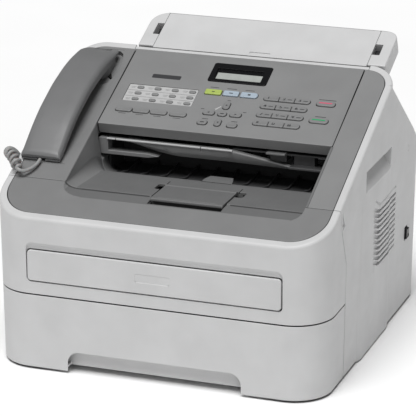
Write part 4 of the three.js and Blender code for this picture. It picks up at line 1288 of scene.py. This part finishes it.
def add_display():
    x, s, h = slope_box("display_window")
    window_x, window_s = (x[0] + 6.4, x[1] - 7.7), (s[0] + 5.0, s[1] - 9.3)
    bezel = stack([
        [on_slope(a, b, lift) for a, b in rounded(grow(x, -inset), grow(s, -inset), 3 - inset * 0.6, 8)]
        for lift, inset in ((h[0], 0), (0.15, 0), (0.5, 0.15), (0.72, 0.5), (h[1], 1.1))])
    hole = tiers(on_slope, window_x, window_s, 0.8, ((-0.9, 0), (0.1, 0.1), (1.2, 0.7), (3, 0.7)), least=0)
    # The glass stops short of the window's upper edge, where the black bezel shows: painted shade under that edge.
    glass = slope_block((window_x[0] + 1.2, window_x[1] + 0.1), (window_s[0] + 1.0, window_s[1] - 5.6),
                        (-0.9, -0.7), 0.5)
    made = merge(painted(cut(bezel, hole), paint_gloss), painted(glass, paint_lcd))
    show("display_unit", made, None, "display_window", 0.12, "control_panel", "display_glass")


def add_print(name, marks, paint=paint_ink, lift=0.05):
    """Flat printed marks on the panel: outlines of (x, s)."""
    made = merge(*[prism(mark, (0.0, lift), on_slope) for mark in marks])
    show(name, made, paint, None, None, "control_panel")


add_panel()
add_dial_keys()
add_single_keys()
add_grouped_keys()
add_one_touch()
add_display()
add_print("panel_legends", [bar(*legend) for legend in LEGENDS])
add_print("panel_nameplate", [rounded((-83, -50), (242.0, 248.4), 1.2, 4)], lift=0.15)
add_print("key_wedge", [[(5.4, 198.0), (9.4, 203.6), (10.2, 205.4), (8.6, 204.6), (4.2, 199.6)]],
          paint_label, 0.2)


# ---- document tray ----
def add_document_tray():
    slab_x, slab_s, (low, _) = slope_box("document_tray")
    support_x, support_s = (-100, 147), (294.6, 357)
    slab = tiers(on_slope, slab_x, slab_s, (2, 13, 20, 2), (
        (low, -1.4), (low + 0.6, -0.4), (low + 2, 0), (-2.2, 0), (-0.9, -0.3), (-0.25, -0.9), (0, -2.0)), 10, 0.5)
    tools = [slope_block(x, s, (low_end, 5), radius) for x, s, radius, low_end in (
        (grow(support_x, GAP), (280, support_s[1] + GAP), 0, -5.0),
        (grow(support_x, -3), (280, support_s[1] - 6), 0, -12.4),
        ((-108, -98.8), (318, 338), 1, -10), ((146, 156), (315, 333.5), 1, -10))]
    show("document_slab", cut(slab, *tools), paint_light, "document_tray", 0.4)
    # Dark pads at the bottom of the guide pockets: painted shade in the pockets.
    pads = [slope_block(x, s, (-9.95, -9.2), 0.6)
            for x, s in (((-107.6, -99.2), (318.4, 337.6)), ((146.4, 155.6), (315.4, 333.1)))]
    show("guide_pads", merge(*pads), paint_dark, None, None)
    flap = tiers(on_slope, support_x, support_s, 1.2,
                 ((-4.2, -0.3), (-3.7, 0), (-0.5, 0), (-0.15, -0.15), (0, -0.5)), 4)
    grip = slope_block((12, 36), (298, 301.4), (-1.2, 3), 1)
    show("support_plate", cut(flap, grip), paint_light, "document_support", 0.2, "document_support")
    for name in ("document_guide_left", "document_guide_right"):
        x, s, (low, high) = slope_box(name)
        guide = tiers(on_slope, x, s, 2, ((low, 0), (high - 0.8, 0), (high - 0.2, -0.3), (high, -0.9)))
        teeth = [slope_block((x[0] + 1, x[1] - 1), (b, b + 1), (high - 0.5, high + 2)) for b in range(304, 330, 4)]
        show(f"{name}_block", cut(guide, *teeth), paint_grey, name, 0.25, name)


ROLLER_AXIS = (94.2, 261)  # the document roller's place, back and up


def add_document_throat():
    """The slot that originals go into, with its roller's gap and its ribs."""
    x = (-118.8, 151.2)
    front, back, floor, high = 84.0, 103.6, 250.0, 270.2
    band = prism([(front, floor), (front, slope_height(front)), (87.6, slope_height(87.6)), (87.6, floor)],
                 x, sideways)
    ends = [prism([
        (front, floor), (back, floor), (back, high), (96, high), (90, slope_height(90) - 3),
        (front, slope_height(front))], span, sideways) for span in ((x[0], -114), (148, x[1]))]
    floor_plate = block(x, (front, back), (floor, floor + 2.5))
    wall = block(x, (back - 2.5, back), (floor, high))
    ribs = [prism([(87, 250), (100, 250), (100, 256), (91, 262), (87, 272)], (a, a + 1.4), sideways)
            for a in range(-104, 146, 24)]
    bore, roller_gap = (rod(span, *ROLLER_AXIS, radius) for span, radius in (((-116, 149.5), 2.9), ((-81, 126), 6.2)))
    made = cut(join(band, *ends, floor_plate, wall, *ribs), bore, roller_gap)
    show("document_throat", made, paint_light, "document_chute", 0.35)


add_document_tray()
add_document_throat()


# ---- rollers ----
def add_roller(node, radius, shaft, reach):
    """A roller with grooved rubber sleeves on a steel shaft."""
    (x, y, z) = box_mm(node)
    centre = (sum(y) / 2, sum(z) / 2)
    axle = painted(rod(x, *centre, shaft, 32), paint_steel)
    sleeve = stack([
        [(at, *p) for p in arc(*centre, r, 0, 353, 47)]
        for at, r in ((reach[0], radius - 0.5), (reach[0] + 0.5, radius), (reach[1] - 0.5, radius),
                      (reach[1], radius - 0.5))])
    step = (reach[1] - reach[0]) / 4
    grooves = [cut(rod((reach[0] + k * step - 1, reach[0] + k * step + 1), *centre, radius + 1),
                   rod((reach[0] + k * step - 2, reach[0] + k * step + 2), *centre, radius - 0.7))
               for k in (1, 2, 3)]
    made = merge(axle, painted(cut(sleeve, *grooves), paint_rubber))
    show(f"{node}_set", made, None, node, 0.2, node, "roller_rubber")


add_roller("pickup_roller", 9, 3, (-25, 25))
add_roller("exit_roller", 6, 2.5, (-60, 60))
add_roller("document_roller", 5.4, 2.5, (-80, 125))


# ---- switch, jack and mains inlet ----
PLUG_Y, PLUG_Z = -44, 94  # the middle of the handset cord's plug


def add_switch():
    (_, y, z) = box_mm("power_switch")
    rocker = tiers(sideways, y, z, 0.8, ((176, 0), (183.6, 0), (184.8, -0.25), (185.3, -0.8)), 4)
    dent = stack([[(x, a, b) for a, b in rounded(grow(y, -inset), (z[0] + inset, 86.4), 0.6)]
                  for x, inset in ((184.7, 2.4), (185.1, 1.6), (187, 1.6))])
    show("rocker", cut(rocker, dent), paint_gloss, "power_switch", 0.15, "power_switch", "dark_plastic")


def add_jack():
    (_, y, z) = box_mm("handset_jack")
    body = cut(block((-184.4, -172), y, z), block((-186, -174), (-48.2, -39.8), (90.4, 97.2)))
    plug = stack([
        [(x, a, b) for a, b in rounded(grow((PLUG_Y, PLUG_Y), half_y), grow((PLUG_Z, PLUG_Z), half_z), 0.5)]
        for x, half_y, half_z in ((-178, 3.8, 3.0), (-186.8, 3.8, 3.0), (-188.1, 3.2, 2.7), (-188.6, 2.4, 2.2))])
    pins = [painted(block((-182, -178.5), (-46.2 + 1.3 * i, -45.7 + 1.3 * i), (96.9, 97.3)), paint_copper)
            for i in range(4)]
    made = merge(painted(body, paint_dark), painted(plug, paint_gloss), *pins)
    show("jack_and_plug", made, None, "handset_jack", 0.2, slot="dark_plastic")


def add_inlet():
    (x, _, z) = box_mm("power_inlet")
    shell = cut(
        prism(rounded(x, z, 1.5, 4), (162, BACK + 0.8), facing),
        prism(rounded(grow(x, -2.5), grow(z, -2.5), (1, 1, 3.5, 3.5), 4), (166, 185), facing))
    pins = [painted(tiers(facing, (cx - 1, cx + 1), (32, 36), 0.3, ((164, 0), (175.8, 0), (177, -0.5)), 3),
                    paint_copper) for cx in (105, 115)]
    made = merge(painted(shell, paint_dark), *pins)
    show("inlet_socket", made, None, "power_inlet", 0.25, slot="dark_plastic")


add_switch()
add_jack()
add_inlet()

# ---- carried-over CAD parts inside the housing: material and width of their edges ----
INSIDE = {
    "base_frame": (paint_dark, 0.5), "engine_frame": (paint_shadow, 0.5), "laser_unit": (paint_shadow, 0.8),
    "toner_cartridge": (paint_dark, 0.8), "fuser_unit": (paint_shadow, 0.6), "lift_plate": (paint_steel, 0.2),
    "tray_guide_left": (paint_grey, 0.4), "tray_guide_right": (paint_grey, 0.4),
}
for node_name, (node_paint, node_edge) in INSIDE.items():
    add_bevel(painted(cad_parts[node_name], node_paint), node_edge, 40, False)

bpy.data.objects.remove(casing)
bpy.context.view_layer.update()
